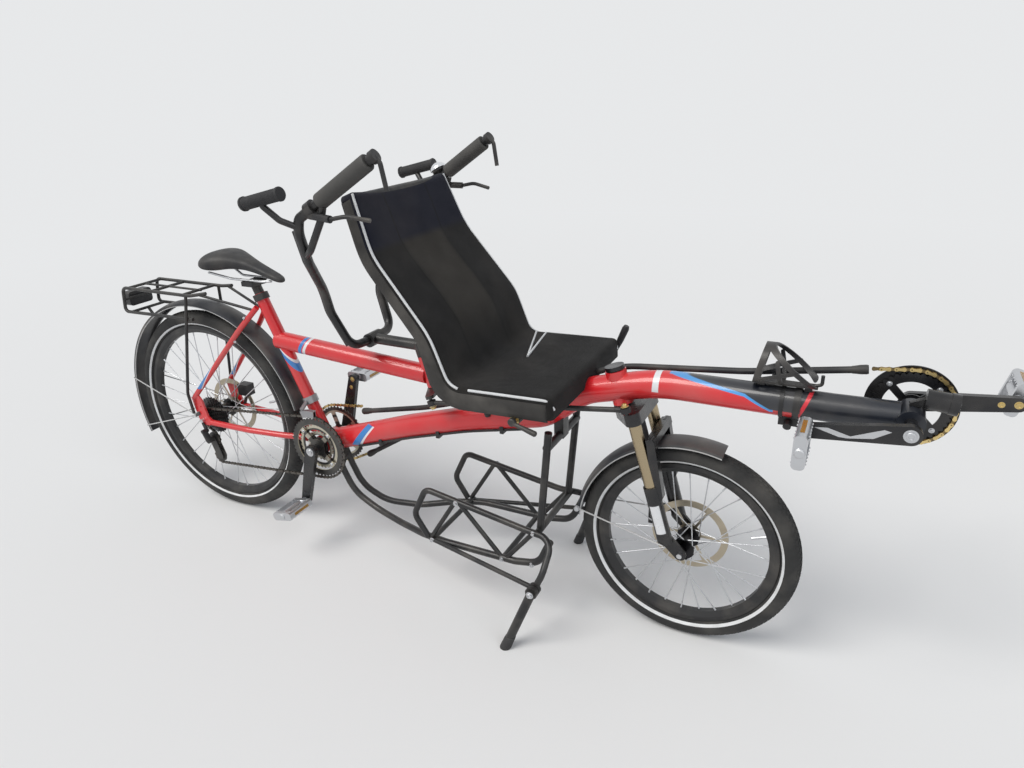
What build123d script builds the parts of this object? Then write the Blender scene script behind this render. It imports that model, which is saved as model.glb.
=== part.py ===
from build123d import *
import os
from math import asin, atan2, cos, degrees, hypot, pi, radians, sin

# Semi-recumbent tandem bicycle: the rear rider steers and sits on a saddle, the front rider
# sits in a mesh seat and pedals ahead of the small steered wheel.
# Lengths are in millimetres. While the parts are made, X runs forward from the rear axle,
# Y to the rider's left, and Z up from the floor. The export moves X so that the origin lies
# on the floor below the middle of the whole bicycle.

# Wheels
REAR_TYRE_R = 331.0
REAR_BEAD_R = 279.5
FRONT_TYRE_R = 253.0
FRONT_BEAD_R = 203.0
TYRE_WIDTH = 50.0
RIM_WIDTH = 27.0
RIM_WALL = 2.5
RIM_DEPTH = 17.0
WHEELBASE = 1480.0
SPOKE_R = 1.3
SPOKE_GAP = 0.3
REAR_SPOKES = 32
FRONT_SPOKES = 28
REAR_OVER_LOCKNUT = 135.0
FRONT_OVER_LOCKNUT = 100.0
AXLE_R = 6.0
AXLE_END_R = 5.0
AXLE_END_Y = (72.3, 86.0)
RUNNING_GAP = 0.05
ROTOR_R = 90.0
ROTOR_THICK = 2.0
REAR_ROTOR_Y = 54.0
FRONT_ROTOR_Y = 36.0

# Main frame tubes
MAIN_TUBE_R = 31.0
SEAT_TUBE_R = 17.5
TOP_TUBE_R = 25.0
STAY_R = 9.0
BB_Z = 315.0
BB_X = 435.0
BB_SHELL_R = 27.0
BOOM_SHELL_R = 25.0
BB_SHELL_HALF = 34.0
SEAT_TUBE_TOP = (256.5, 0.0, 738.0)
SADDLE_CLAMP = (243.0, 0.0, 770.0)
BEAM_END_X = 1690.0
BEAM_Z = 641.0

# Steering, both axes at one slope
STEER_TILT = 16.0
FORK_TOP = (1300.0, 0.0, 660.0)
COLUMN_TOP = (789.0, 0.0, 650.0)
STEERER_R = 14.0
HEAD_TUBE_R = 24.0
HEAD_TUBE_S = (3.0, 80.0)
COLUMN_TUBE_R = 20.0
COLUMN_TUBE_S = (26.0, 108.0)
LEVER_FORWARD = 32.0
LEVER_SIDE = 75.0
TIE_ROD_R = 6.0

# Fork, in lengths measured down the steering axis (s) and forward of it (f)
LEG_F = 37.0
LEG_Y = 60.0
STANCHION_R = 14.0
LOWER_R = 17.0
CROWN_S = (84.0, 112.0)
LOWER_TOP_S = 262.0
LOWER_END_S = 405.0
ARCH_S = (150.0, 166.0)
ARCH_F = 64.0

# Front boom and its bottom bracket
BOOM_R = 29.0
STOKER_BB = (1881.0, 0.0, 645.0)

# Cranks and pedals
CRANK_LENGTH = 175.0
CRANK_INNER_Y = 74.0
CRANK_THICK = 13.0
PEDAL_LENGTH = 68.0
PEDAL_WIDTH = 90.0
PEDAL_THICK = 24.0
PEDAL_INNER_Y = 94.0
SPINDLE_R = 5.0
CAPTAIN_ANGLE = -106.0
STOKER_ANGLE = 187.3

# Chains
CHAIN_WIDTH = 5.4
CHAIN_HEIGHT = 8.0
CHAIN_GAP = 0.6
DRIVE_CHAIN_Y = -54.0
STOKER_CHAIN_Y = 50.0

# Two-leg stand
STAND_PIVOT = (1176.0, 200.0, 156.0)
STAND_FOOT = (1117.0, 235.0, 0.0)

# Mudguards and their wire stays
REAR_GUARD_R = REAR_TYRE_R + 27.0
FRONT_GUARD_R = FRONT_TYRE_R + 9.0
GUARD_CROWN = 4.0
GUARD_WIDTH = 58.0
GUARD_THICK = 2.5
WIRE_R = 1.8

# Front seat: rail centre line as (x, half width, z), from the top of the back to the front
SEAT_RAIL = [(768, 173, 1037), (812, 188, 918), (946, 196, 755), (990, 196, 638), (1225, 195, 645)]
SEAT_RAIL_BENDS = [200, 150, 45]
SEAT_BACK_BAR = (900, 193, 811)
SEAT_PAN_BAR = (1045, 195, 639.6)
SEAT_RAIL_R = 9.0
SEAT_PLAN = [(168, 1077), (173, 1037), (188, 918), (196, 755), (196, 638), (196, 560)]
SOFT_GAP = 0.4
MESH_THICK = 4.0
SKIRT_DEPTH = 20.0

# Load rack beside the main tube
RACK_Y = 105.0
STAND_PIN_R = 6.0

# Bottle held on the beam, and the headlamp
BOTTLE_R = 37.0
LAMP_R = 19.0

# Rear rack
RACK_TUBE_R = 5.0

# Gears
BB_AXLE_R = 12.0
BIG_RING_R = 91.0
MIDDLE_RING_R = 68.0
SMALL_RING_R = 46.0
LEFT_RING_R = 84.0
STOKER_RING_R = 72.0
TOOTH_HEIGHT = 5.0
CHAIN_PITCH = 12.7
SPROCKETS = 9
CHAIN_SPROCKET = 7
LARGEST_SPROCKET_R = 60.0
SPROCKET_STEP_R = 4.6
SPROCKET_PITCH = 3.57
SPROCKET_HALF = 0.8
GUIDE_PULLEY = (6.0, 262.0)
TENSION_PULLEY = (25.0, 205.0)
PULLEY_R = 20.0
REAR_BARREL_R = 20.0
REAR_BARREL_END_R = REAR_BARREL_R * 0.72
CHAIN_TUBE_R = 7.0
UPPER_FRONT_MOUTH = (1800.0, 711.0)
LOWER_FRONT_MOUTH = (1800.0, 590.0)
UPPER_REAR_MOUTH = (530.0, 401.0)
LOWER_REAR_MOUTH = (530.0, 262.0)

# Cables
CABLE_R = 2.5
CABLE_SET_BACK = 15.0

# Steering parts
TIE_PIN_R = 4.0
LEVER_S = (110.0, 118.0)
BAR_R = 11.0
BAR_CENTRE = (640.0, 0.0, 652.0)
BAR_LINE = [
    (640, 0, 652), (634, 84, 655), (598, 102, 745), (598, 116, 806), (642, 200, 896),
    (672, 250, 975), (679, 250, 1003), (876, 235, 1126),
]
BAR_BENDS = [38, 60, 80, 60, 60, 18]

# Rest angle of each pedal's platform
PEDAL_ROLL = {
    ("captain", "right"): 12.0,
    ("captain", "left"): 0.0,
    ("stoker", "right"): 90.0,
    ("stoker", "left"): 75.0,
}

# Where the export puts the middle of the bicycle
ORIGIN_X = 854.225

REAR_HUB = (0.0, 0.0, REAR_TYRE_R)
FRONT_HUB = (WHEELBASE, 0.0, FRONT_TYRE_R)
CAPTAIN_BB = (BB_X, 0.0, BB_Z)

# Main frame tubes' centre lines
MAIN_LINE = [
    CAPTAIN_BB, (740, 0, 418), (916, 0, 470), (1130, 0, 518),
    (1230, 0, 597), (1400, 0, BEAM_Z), (BEAM_END_X, 0, BEAM_Z),
]
MAIN_BENDS = [900, 900, 130, 150, 400]
TOP_TUBE_LINE = ((300.0, 0.0, 607.0), (800.0, 0.0, 574.0))


def rod(start, end, radius):
    """Round bar between two points."""
    first = Vector(*start)
    reach = Vector(*end) - first
    bar = Cylinder(radius, reach.length, align=(Align.CENTER, Align.CENTER, Align.MIN))
    return Plane(origin=first, z_dir=reach) * bar


def pipe(points, radius, bends):
    """Round bar along a bent line; bends is one radius, or one for each corner."""
    line = FilletPolyline(*points, radius=bends)
    section = Plane(origin=line @ 0, z_dir=line % 0) * Circle(radius)
    return sweep(section, path=line)


def across(x, z, radius, y_from, y_to):
    """Round bar along Y."""
    return rod((x, y_from, z), (x, y_to, z), radius)


def slab(outline, y_low, y_high):
    """Plate with a flat outline drawn in X and Z, between two values of Y."""
    plane = Plane((0, y_high, 0), x_dir=(1, 0, 0), z_dir=(0, -1, 0))
    return extrude(plane * outline, y_high - y_low)


def block(x_range, y_range, z_range):
    """Box between three pairs of limits."""
    size = [high - low for low, high in (x_range, y_range, z_range)]
    middle = [(high + low) / 2 for low, high in (x_range, y_range, z_range)]
    return Pos(*middle) * Box(*size)


def outline(points):
    """Flat face with straight sides."""
    return make_face(Polyline(*points, close=True))


def link_outline(first, first_r, second, second_r):
    """Flat shape round two circles, drawn in X and Z."""
    circles = [Pos(*first) * Circle(first_r), Pos(*second) * Circle(second_r)]
    return make_hull([edge for circle in circles for edge in circle.edges()])


def turned(face, centre):
    """Revolves a face drawn as (radius, y) about a wheel's axle."""
    return Pos(*centre) * revolve(face, Axis.Y, 360)


def other_side(shape):
    """The same piece on the other side of the mid-plane."""
    return mirror(shape, about=Plane.XZ)


def fuse(pieces):
    """Joins a list of pieces."""
    joined = pieces[0]
    for piece in pieces[1:]:
        joined = joined + piece
    return joined


def both_sides(shape):
    """A piece and its mirror image."""
    return shape + other_side(shape)


def on_steer_axis(top, s, f=0.0, y=0.0):
    """Point s down a sloping steering axis, f forward of it and y to the left."""
    tilt = radians(STEER_TILT)
    return (
        top[0] + s * sin(tilt) + f * cos(tilt),
        y,
        top[2] - s * cos(tilt) + f * sin(tilt),
    )


def steer_plane(top, s):
    """Plane across a steering axis, its X forward and its normal up the axis."""
    tilt = radians(STEER_TILT)
    return Plane(
        origin=on_steer_axis(top, s), x_dir=(cos(tilt), 0, sin(tilt)), z_dir=(-sin(tilt), 0, cos(tilt))
    )


def belt_edge(pulleys, shift):
    """Closed outline round pulleys given as (x, z, signed radius), moved outward by shift."""
    count = len(pulleys)
    radii = [pulley[2] + shift for pulley in pulleys]
    leave, meet = [None] * count, [None] * count
    for i in range(count):
        j = (i + 1) % count
        reach_x = pulleys[j][0] - pulleys[i][0]
        reach_z = pulleys[j][1] - pulleys[i][1]
        turn = asin((radii[j] - radii[i]) / hypot(reach_x, reach_z))
        heading = atan2(reach_z, reach_x) - turn
        side = (-sin(heading), cos(heading))
        leave[i] = (pulleys[i][0] - side[0] * radii[i], pulleys[i][1] - side[1] * radii[i])
        meet[j] = (pulleys[j][0] - side[0] * radii[j], pulleys[j][1] - side[1] * radii[j])
    edges = []
    for i in range(count):
        centre_x, centre_z, _ = pulleys[i]
        begin = atan2(meet[i][1] - centre_z, meet[i][0] - centre_x)
        finish = atan2(leave[i][1] - centre_z, leave[i][0] - centre_x)
        if radii[i] > 0:
            half_turn = ((finish - begin) % (2 * pi)) / 2
        else:
            half_turn = -((begin - finish) % (2 * pi)) / 2
        size = abs(radii[i])
        middle = (
            centre_x + size * cos(begin + half_turn),
            centre_z + size * sin(begin + half_turn),
        )
        edges.append(ThreePointArc(meet[i], middle, leave[i]))
        edges.append(Line(leave[i], meet[(i + 1) % count]))
    return make_face(edges)


def belt(pulleys, height, y_middle, width):
    """Chain as one closed band."""
    band = belt_edge(pulleys, height / 2) - belt_edge(pulleys, -height / 2)
    return slab(band, y_middle - width / 2, y_middle + width / 2)


# Wheels
def make_tyre(tyre_r, bead_r, centre):
    half = TYRE_WIDTH / 2
    bead_half = RIM_WIDTH / 2 - RIM_WALL
    shoulder_r = bead_r + 7.0
    tread_edge_r = tyre_r - 11.0
    tread_half = half - 5.0
    belly_r = (shoulder_r + tread_edge_r) / 2 + 3.0
    profile = [
        Line((bead_r, -bead_half), (bead_r, bead_half)),
        Line((bead_r, bead_half), (shoulder_r, bead_half)),
        ThreePointArc((shoulder_r, bead_half), (belly_r, half), (tread_edge_r, tread_half)),
        ThreePointArc((tread_edge_r, tread_half), (tyre_r, 0), (tread_edge_r, -tread_half)),
        ThreePointArc((tread_edge_r, -tread_half), (belly_r, -half), (shoulder_r, -bead_half)),
        Line((shoulder_r, -bead_half), (bead_r, -bead_half)),
    ]
    return turned(make_face(profile), centre)


def make_rim(bead_r, centre):
    half = RIM_WIDTH / 2
    bead_half = half - RIM_WALL
    flange_r = bead_r + 5.5
    side_r = bead_r - 5.0
    inner_r = bead_r - RIM_DEPTH
    inner_half = 7.0
    points = [
        (flange_r, half), (flange_r, bead_half), (bead_r, bead_half), (bead_r, -bead_half),
        (flange_r, -bead_half), (flange_r, -half), (side_r, -half), (inner_r, -inner_half),
        (inner_r, inner_half), (side_r, half),
    ]
    return turned(outline(points), centre)


def make_hub(centre, flange_r, left_flange_y, right_flange_y, barrel_r, half_width):
    flange_half = 1.6
    barrel = across(centre[0], centre[2], barrel_r, right_flange_y, left_flange_y)
    ends = across(centre[0], centre[2], barrel_r * 0.72, -half_width, half_width)
    hub = barrel + ends
    for flange_y in (left_flange_y, right_flange_y):
        hub += across(centre[0], centre[2], flange_r, flange_y - flange_half, flange_y + flange_half)
    bore = across(centre[0], centre[2], AXLE_R + RUNNING_GAP, -half_width, half_width)
    return hub - bore


def make_spokes(centre, count, flange_r, left_flange_y, right_flange_y, rim_r):
    """Crossed spokes: each hub hole's spoke leans forward or back by turns."""
    spokes = []
    lean = 62.0
    seat = 0.8
    for number in range(count):
        flange_y = left_flange_y if number % 2 == 0 else right_flange_y
        forward = 1 if (number // 2) % 2 == 0 else -1
        outward = 2.2 * forward
        rim_angle = radians(360.0 / count * number)
        hub_angle = rim_angle + radians(lean) * forward
        hub_end = (
            centre[0] + (flange_r - seat) * cos(hub_angle),
            flange_y + outward,
            centre[2] + (flange_r - seat) * sin(hub_angle),
        )
        rim_end = (
            centre[0] + (rim_r - SPOKE_GAP) * cos(rim_angle),
            0.12 * flange_y,
            centre[2] + (rim_r - SPOKE_GAP) * sin(rim_angle),
        )
        spokes.append(rod(hub_end, rim_end, SPOKE_R))
    return spokes


def make_rotor(centre, rotor_y, hub_r):
    x, _, z = centre
    low = rotor_y - ROTOR_THICK / 2
    high = rotor_y + ROTOR_THICK / 2
    track = Circle(ROTOR_R) - Circle(ROTOR_R - 16)
    core = Circle(27) - Circle(hub_r)
    face = track + core
    arm_count = 6
    for number in range(arm_count):
        angle = 360.0 / arm_count * number
        arm = Pos(52, 0) * Rectangle(62, 6)
        face += Rot(0, 0, angle) * arm
    return slab(Pos(x, z) * face, low, high)


# Frame
def make_main_tube():
    tube = pipe(MAIN_LINE, MAIN_TUBE_R, MAIN_BENDS)
    shell = across(BB_X, BB_Z, BB_SHELL_R, -BB_SHELL_HALF, BB_SHELL_HALF)
    head = rod(
        on_steer_axis(FORK_TOP, HEAD_TUBE_S[0]), on_steer_axis(FORK_TOP, HEAD_TUBE_S[1]), HEAD_TUBE_R
    )
    head_bore = rod(
        on_steer_axis(FORK_TOP, -40), on_steer_axis(FORK_TOP, HEAD_TUBE_S[1] + 40), STEERER_R + RUNNING_GAP
    )
    bottom_bore = across(BB_X, BB_Z, BB_AXLE_R + RUNNING_GAP, -BB_SHELL_HALF - 1, BB_SHELL_HALF + 1)
    return tube + shell + head - head_bore - bottom_bore


def seat_tube_bar():
    return rod(CAPTAIN_BB, SEAT_TUBE_TOP, SEAT_TUBE_R)


def make_seat_tube(main_tube):
    shell = across(BB_X, BB_Z, BB_SHELL_R, -BB_SHELL_HALF, BB_SHELL_HALF)
    return seat_tube_bar() - main_tube - shell


def make_top_tube():
    bar = rod(TOP_TUBE_LINE[0], TOP_TUBE_LINE[1], TOP_TUBE_R)
    column = rod(
        on_steer_axis(COLUMN_TOP, COLUMN_TUBE_S[0]),
        on_steer_axis(COLUMN_TOP, COLUMN_TUBE_S[1]),
        COLUMN_TUBE_R,
    )
    bore = rod(
        on_steer_axis(COLUMN_TOP, 0), on_steer_axis(COLUMN_TOP, 160), STEERER_R + RUNNING_GAP
    )
    return bar - seat_tube_bar() + column - bore


EYELET = (0.0, 376.0)
EYELET_R = 2.5
DROPOUT = [(-34, 402), (-6, 416), (8, 398), (22, 345), (40, 331), (22, 316), (-14, 316), (-22, 345)]
CHAINSTAY = [(30, 69, 327), (180, 62, 325), (300, 42, 322), (352, 27, 320), (424, 22, 316)]
CHAINSTAY_BENDS = [300, 200, 60]


def make_dropout():
    plate = slab(outline(DROPOUT), 66, 72)
    return plate - across(0, REAR_TYRE_R, AXLE_R, 60, 80) - across(EYELET[0], EYELET[1], EYELET_R, 60, 80)


def make_chainstays(main_tube):
    """Both chainstays with the dropout plates that carry the axle."""
    shell = across(BB_X, BB_Z, BB_SHELL_R, -BB_SHELL_HALF, BB_SHELL_HALF)
    stay = pipe(CHAINSTAY, STAY_R, CHAINSTAY_BENDS)
    return both_sides(stay + make_dropout()) - main_tube - shell


def make_seatstays(seat_tube):
    stay = pipe([(-20, 69, 405), (195, 40, 637), (256, 20, 702)], STAY_R - 1, [200])
    return both_sides(stay - make_dropout()) - seat_tube


def make_rear_axle():
    """Axle with a free end on the left that takes a trailer's hitch."""
    half = REAR_OVER_LOCKNUT / 2
    bar = across(0, REAR_TYRE_R, AXLE_R - RUNNING_GAP, -half - 14, AXLE_END_Y[0])
    return bar + across(0, REAR_TYRE_R, AXLE_END_R, AXLE_END_Y[0], AXLE_END_Y[1])


def on_seat_tube(z):
    """Point at height z on the seat tube's centre line."""
    slope = (SEAT_TUBE_TOP[0] - BB_X) / (SEAT_TUBE_TOP[2] - BB_Z)
    return (BB_X + (z - BB_Z) * slope, 0, z)


def make_seat_post():
    post = rod(SEAT_TUBE_TOP, SADDLE_CLAMP, 13.6)
    head = block((222, 262), (-28, 28), (762, 775.3))
    collar = rod(on_seat_tube(720), on_seat_tube(SEAT_TUBE_TOP[2] - 1), SEAT_TUBE_R + 4)
    return post + head + (collar - seat_tube_bar())


def make_saddle():
    """Saddle with a wide tail and a narrow nose that dips, arched below."""
    half_plan = [
        (94, 0), (97, 46), (110, 74), (148, 73), (198, 46), (244, 25), (338, 18), (355, 0),
    ]
    plan = half_plan + [(x, -y) for x, y in reversed(half_plan[1:-1])]
    side = [
        (90, 800), (90, 830), (104, 846), (128, 855), (158, 856), (200, 848), (245, 834), (300, 812),
        (342, 796), (358, 784), (356, 774), (330, 778), (290, 792), (240, 804), (190, 806), (140, 798),
    ]
    body = extrude(outline(plan), 1000) & slab(outline(side), -100, 100)
    return body


def make_saddle_rails():
    rail = pipe([(322, 12, 780.5), (292, 20, 779), (180, 22, 779), (118, 42, 797)], 3.5, [30, 40])
    return both_sides(rail) - make_saddle()


def make_rack():
    r = RACK_TUBE_R
    y = 60
    side = pipe([(96, 48, 735), (40, y, 726), (-249, y, 726), (-262, y, 650), (35, y, 655)], r, [60, 20, 12])
    leg = pipe([(25, y, 724), (6, 72, 600), (-30, 84, 420), (-30, 77.9, 352)], r - 0.5, [200, 60])
    arm = rod((70, 54, 731), (228, 16, 692), r - 1)
    bars = [
        across(x, z, r - 0.8, -y, y)
        for x, z in ((-226, 726), (-120, 726), (10, 726), (-255.5, 688), (-235, 650.5))
    ]
    centre_bar = rod((-226, 0, 726), (20, 0, 726), r - 1.6)
    guard_tie = rod((-236, 0, 648), (-218, 0, 624.1), r - 0.6)
    return both_sides(side + leg + arm) + fuse(bars) + centre_bar + guard_tie


def guard_arc(centre, inner_r, thick, width, from_angle, to_angle):
    """Curved strip over a wheel, between two angles from the forward direction."""
    half = width / 2
    lip = 8.0
    section = [
        Line((inner_r, half), (inner_r - lip, half + 1)),
        Line((inner_r - lip, half + 1), (inner_r - lip, half + 1 - thick)),
        Line((inner_r - lip, half + 1 - thick), (inner_r, half - thick)),
        Line((inner_r, half - thick), (inner_r, -half + thick)),
        Line((inner_r, -half + thick), (inner_r - lip, -half - 1 + thick)),
        Line((inner_r - lip, -half - 1 + thick), (inner_r - lip, -half - 1)),
        Line((inner_r - lip, -half - 1), (inner_r, -half)),
        ThreePointArc((inner_r, -half), (inner_r + thick + GUARD_CROWN, 0), (inner_r, half)),
    ]
    strip = revolve(make_face(section), Axis.Y, to_angle - from_angle)
    return Pos(*centre) * Rot(0, -to_angle, 0) * strip


def make_rear_mudguard():
    guard = guard_arc(REAR_HUB, REAR_GUARD_R, GUARD_THICK, GUARD_WIDTH, 12, 200)
    stays = []
    for angle in (168, 196):
        outer = (
            (REAR_GUARD_R - 2) * cos(radians(angle)),
            GUARD_WIDTH / 2 + 3,
            REAR_TYRE_R + (REAR_GUARD_R - 2) * sin(radians(angle)),
        )
        stays.append(rod(outer, (-26, 75, 345), WIRE_R))
    lug = slab(link_outline((-26, 345), 6, (-14, 352), 6), 72, 76)
    return guard + both_sides(fuse(stays) + lug)


def make_front_lamp():
    """Round headlamp on a short bracket above the front bottom bracket."""
    barrel = rod((1899, 0, 686), (1951, 0, 681), LAMP_R)
    hood = rod((1938, 0, 682.3), (1953, 0, 680.8), LAMP_R + 1.5)
    bracket = slab(link_outline((1879, 672), 5, (1912, 684), 8), -7, 7)
    return barrel + hood + bracket - across(STOKER_BB[0], STOKER_BB[2], BOOM_SHELL_R + 0.3, -50, 50)


def make_rear_lamp():
    lamp = block((-286, -259.9), (-40, 40), (660, 704))
    return fillet(lamp.edges().filter_by(Axis.X), 10)


# Front seat
def ribbon(points, bends, low, high, extend):
    """Flat face along a bent line, between two distances to its left."""
    directions = []
    for here, there in zip(points[:-1], points[1:]):
        length = hypot(there[0] - here[0], there[1] - here[1])
        directions.append(((there[0] - here[0]) / length, (there[1] - here[1]) / length))
    start, stop = directions[0], directions[-1]
    line = list(points)
    line[0] = (points[0][0] - start[0] * extend, points[0][1] - start[1] * extend)
    line[-1] = (points[-1][0] + stop[0] * extend, points[-1][1] + stop[1] * extend)
    sides = [
        1 if before[0] * after[1] > before[1] * after[0] else -1
        for before, after in zip(directions[:-1], directions[1:])
    ]
    edges = []
    for distance in (low, high):
        moved = []
        for number, (x, z) in enumerate(line):
            before = directions[max(number - 1, 0)]
            after = directions[min(number, len(directions) - 1)]
            scale = distance / (1 + before[0] * after[0] + before[1] * after[1])
            moved.append((x - (before[1] + after[1]) * scale, z + (before[0] + after[0]) * scale))
        radii = [bend - distance * side for bend, side in zip(bends, sides)]
        edges.append(FilletPolyline(*moved, radius=radii))
    edges.append(Line(edges[0] @ 0, edges[1] @ 0))
    edges.append(Line(edges[0] @ 1, edges[1] @ 1))
    return make_face(edges[0].edges() + edges[1].edges() + [edges[2].edge(), edges[3].edge()])


def make_seat_frame():
    rail = pipe([(x, half, z) for x, half, z in SEAT_RAIL], SEAT_RAIL_R, SEAT_RAIL_BENDS)
    bars = [
        across(x, z, SEAT_RAIL_R, -half, half)
        for x, half, z in (SEAT_RAIL[0], SEAT_BACK_BAR, SEAT_PAN_BAR, SEAT_RAIL[-1])
    ]
    keel = rod((SEAT_PAN_BAR[0], 22, SEAT_PAN_BAR[2]), (SEAT_RAIL[-1][0], 22, SEAT_RAIL[-1][2]), 8)
    strut = rod((SEAT_BACK_BAR[0], 60, SEAT_BACK_BAR[2] - 3), (985, 26, 500), 8)
    post = block((1086, 1126), (-24, 24), (520, 636))
    clamp_post = block((1136, 1162), (-193, -160), (600, 636))
    clamp_bar = across(1149, 596, 12, -200, -150)
    cut = pipe(MAIN_LINE, MAIN_TUBE_R, MAIN_BENDS)
    return both_sides(rail + keel + strut + clamp_post + clamp_bar) + fuse(bars) + post - cut


def make_seat_cover():
    """Mesh sling: a thin sheet with skirts down both sides of the rails."""
    line = [(x, z) for x, _, z in SEAT_RAIL]
    inside = SEAT_RAIL_R + SOFT_GAP
    outside = inside + MESH_THICK
    shells = []
    for reach, depth in ((outside, SKIRT_DEPTH), (inside, SKIRT_DEPTH + 6)):
        sling = slab(ribbon(line, SEAT_RAIL_BENDS, -depth, reach, reach), -260, 260)
        left = [(half + reach, z) for half, z in SEAT_PLAN]
        plan = outline(left + [(-y, z) for y, z in reversed(left)])
        plane = Plane((500, 0, 0), x_dir=(0, 1, 0), z_dir=(1, 0, 0))
        shells.append(sling & extrude(plane * plan, 900))
    front_x, front_half, front_z = SEAT_RAIL[-1]
    front_gap = block((front_x, front_x + 60), (-front_half, front_half), (560, front_z - SEAT_RAIL_R))
    return shells[0] - shells[1] - front_gap


# Load rack and stand
def make_load_rack():
    y = RACK_Y
    long_tube = pipe(
        [
            (472, 20, 284), (490, 20, 236), (520, 20, 172), (600, 24, 135), (700, 50, 130),
            (800, 88, 144), (880, y, 152), (1085, y, 152), (1150, y, 165), (1183, y + 4, 238),
        ],
        9,
        [60, 100, 150, 150, 150, 200, 60, 50],
    )
    pivot_x, _, pivot_z = STAND_PIVOT
    top_rail = pipe(
        [
            (828, y, 154), (790, y, 214), (833, y, 300), (1120, y, 252), (1192, y + 8, 250),
            (1190, 172, 190), (pivot_x, 184, pivot_z),
        ],
        8,
        [30, 24, 200, 40, 40],
    )
    web = [
        ((840, 158), (922, 286)), ((930, 284), (1046, 154)), ((1060, 154), (1140, 252)),
    ]
    webs = [rod((a[0], y, a[1]), (b[0], y, b[1]), 6) for a, b in web]
    upright = rod((1148, 88, 252), (1175, 88, 518), 9)
    lug = slab(Pos(pivot_x, pivot_z) * Circle(15), 182, 193)
    pin = across(pivot_x, pivot_z, STAND_PIN_R, 186, 213)
    head = across(pivot_x, pivot_z, 10, 208.3, 213)
    stay = rod((pivot_x - 6, 185, pivot_z), (835, y, 150), 6)
    half = fuse([long_tube, top_rail, upright, lug, pin, head, stay] + webs)
    cross = [
        across(1148, 252, 8.5, -y, y),
        across(1171, 478, 10, -92, 92),
        across(845, 155, 7, -y, y),
        across(1050, 151, 7, -y, y),
        across(480, 262, 8, -26, 26),
    ]
    lugs = block((1157, 1181), (-16, 16), (470, 530)) + block((462, 482), (-16, 16), (268, 300))
    shell = across(BB_X, BB_Z, BB_SHELL_R, -BB_SHELL_HALF, BB_SHELL_HALF)
    return both_sides(half) + fuse(cross) + lugs - pipe(MAIN_LINE, MAIN_TUBE_R, MAIN_BENDS) - shell


def make_stand_leg():
    head = slab(Pos(STAND_PIVOT[0], STAND_PIVOT[2]) * Circle(15), 195, 207)
    top = (STAND_PIVOT[0], 201, STAND_PIVOT[2])
    reach = [foot - start for foot, start in zip(STAND_FOOT, top)]
    past = [start + 1.15 * step for start, step in zip(top, reach)]
    leg = rod(top, past, 11)
    hole = across(STAND_PIVOT[0], STAND_PIVOT[2], STAND_PIN_R + RUNNING_GAP, 150, 250)
    pin_head = across(STAND_PIVOT[0], STAND_PIVOT[2], 11, 208, 230)
    lug_room = across(STAND_PIVOT[0], STAND_PIVOT[2], 17, 180, 194)
    return head + leg - hole - pin_head - lug_room - block((900, 1400), (0, 400), (-80, 0))


# Boom, clamp and cage
def make_boom():
    tube = pipe([(BEAM_END_X, 0, BEAM_Z), (1750, 0, BEAM_Z), (1862, 0, 643)], BOOM_R, [900])
    shell = across(STOKER_BB[0], STOKER_BB[2], BOOM_SHELL_R, -BB_SHELL_HALF, BB_SHELL_HALF)
    bore = across(STOKER_BB[0], STOKER_BB[2], BB_AXLE_R + RUNNING_GAP, -50, 50)
    return tube + shell - bore


def make_boom_clamp():
    """Two thin bands round the beam's end, pulled together by a bolt below it."""
    reach = MAIN_TUBE_R + 2.5
    rings = [rod((low, 0, BEAM_Z), (high, 0, BEAM_Z), reach) for low, high in ((1650, 1658), (1676, BEAM_END_X - 2))]
    ears = block((1650, 1688), (-9, 9), (592, 614))
    knob = rod((1669, -24, 596), (1669, -10, 600), 8)
    bolt = across(1669, 601, 5, -18, 18)
    return fuse(rings + [ears, knob, bolt]) - rod((1600, 0, BEAM_Z), (1720, 0, BEAM_Z), MAIN_TUBE_R)


def make_bottle_cage():
    """Open cage: crossing bands bent round the bottle's sides, on a base strip with two feet."""
    base_z = BEAM_Z + MAIN_TUBE_R + 6
    axis_z = base_z + 4 + BOTTLE_R
    base = block((1594, 1716), (-11, 11), (base_z, base_z + 4))
    rear_foot = block((1603, 1617), (-7, 7), (BEAM_Z + MAIN_TUBE_R, base_z + 1))
    front_foot = block((1692, 1706), (-7, 7), (BEAM_Z + BOOM_R, base_z + 1))
    sleeve = rod((1590, 0, axis_z), (1722, 0, axis_z), BOTTLE_R + 5) - rod(
        (1580, 0, axis_z), (1730, 0, axis_z), BOTTLE_R + 1.5
    )
    band_lines = [
        ((1600, base_z + 4), (1620, axis_z + 50), 6), ((1616, axis_z + 46), (1708, base_z + 10), 5),
        ((1604, base_z + 14), (1676, axis_z - 2), 4), ((1650, base_z + 4), (1640, axis_z + 14), 4),
    ]
    bands = fuse([slab(link_outline(a, r, b, r), -60, 60) for a, b, r in band_lines])
    stop = pipe([(1706, 0, base_z + 2), (1722, 0, base_z + 8), (1722, 0, axis_z - 14)], 3.5, [5])
    return (sleeve & bands) + base + rear_foot + front_foot + stop


# Chains and gears
def make_drive_chain():
    half = CHAIN_HEIGHT / 2
    pulleys = [
        (BB_X, BB_Z, BIG_RING_R + CHAIN_GAP + half),
        (0, REAR_TYRE_R, sprocket_r(CHAIN_SPROCKET) + CHAIN_GAP + half),
        (GUIDE_PULLEY[0], GUIDE_PULLEY[1], -(PULLEY_R + CHAIN_GAP + half)),
        (TENSION_PULLEY[0], TENSION_PULLEY[1], PULLEY_R + CHAIN_GAP + half),
    ]
    return belt(pulleys, CHAIN_HEIGHT, DRIVE_CHAIN_Y, CHAIN_WIDTH)


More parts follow.
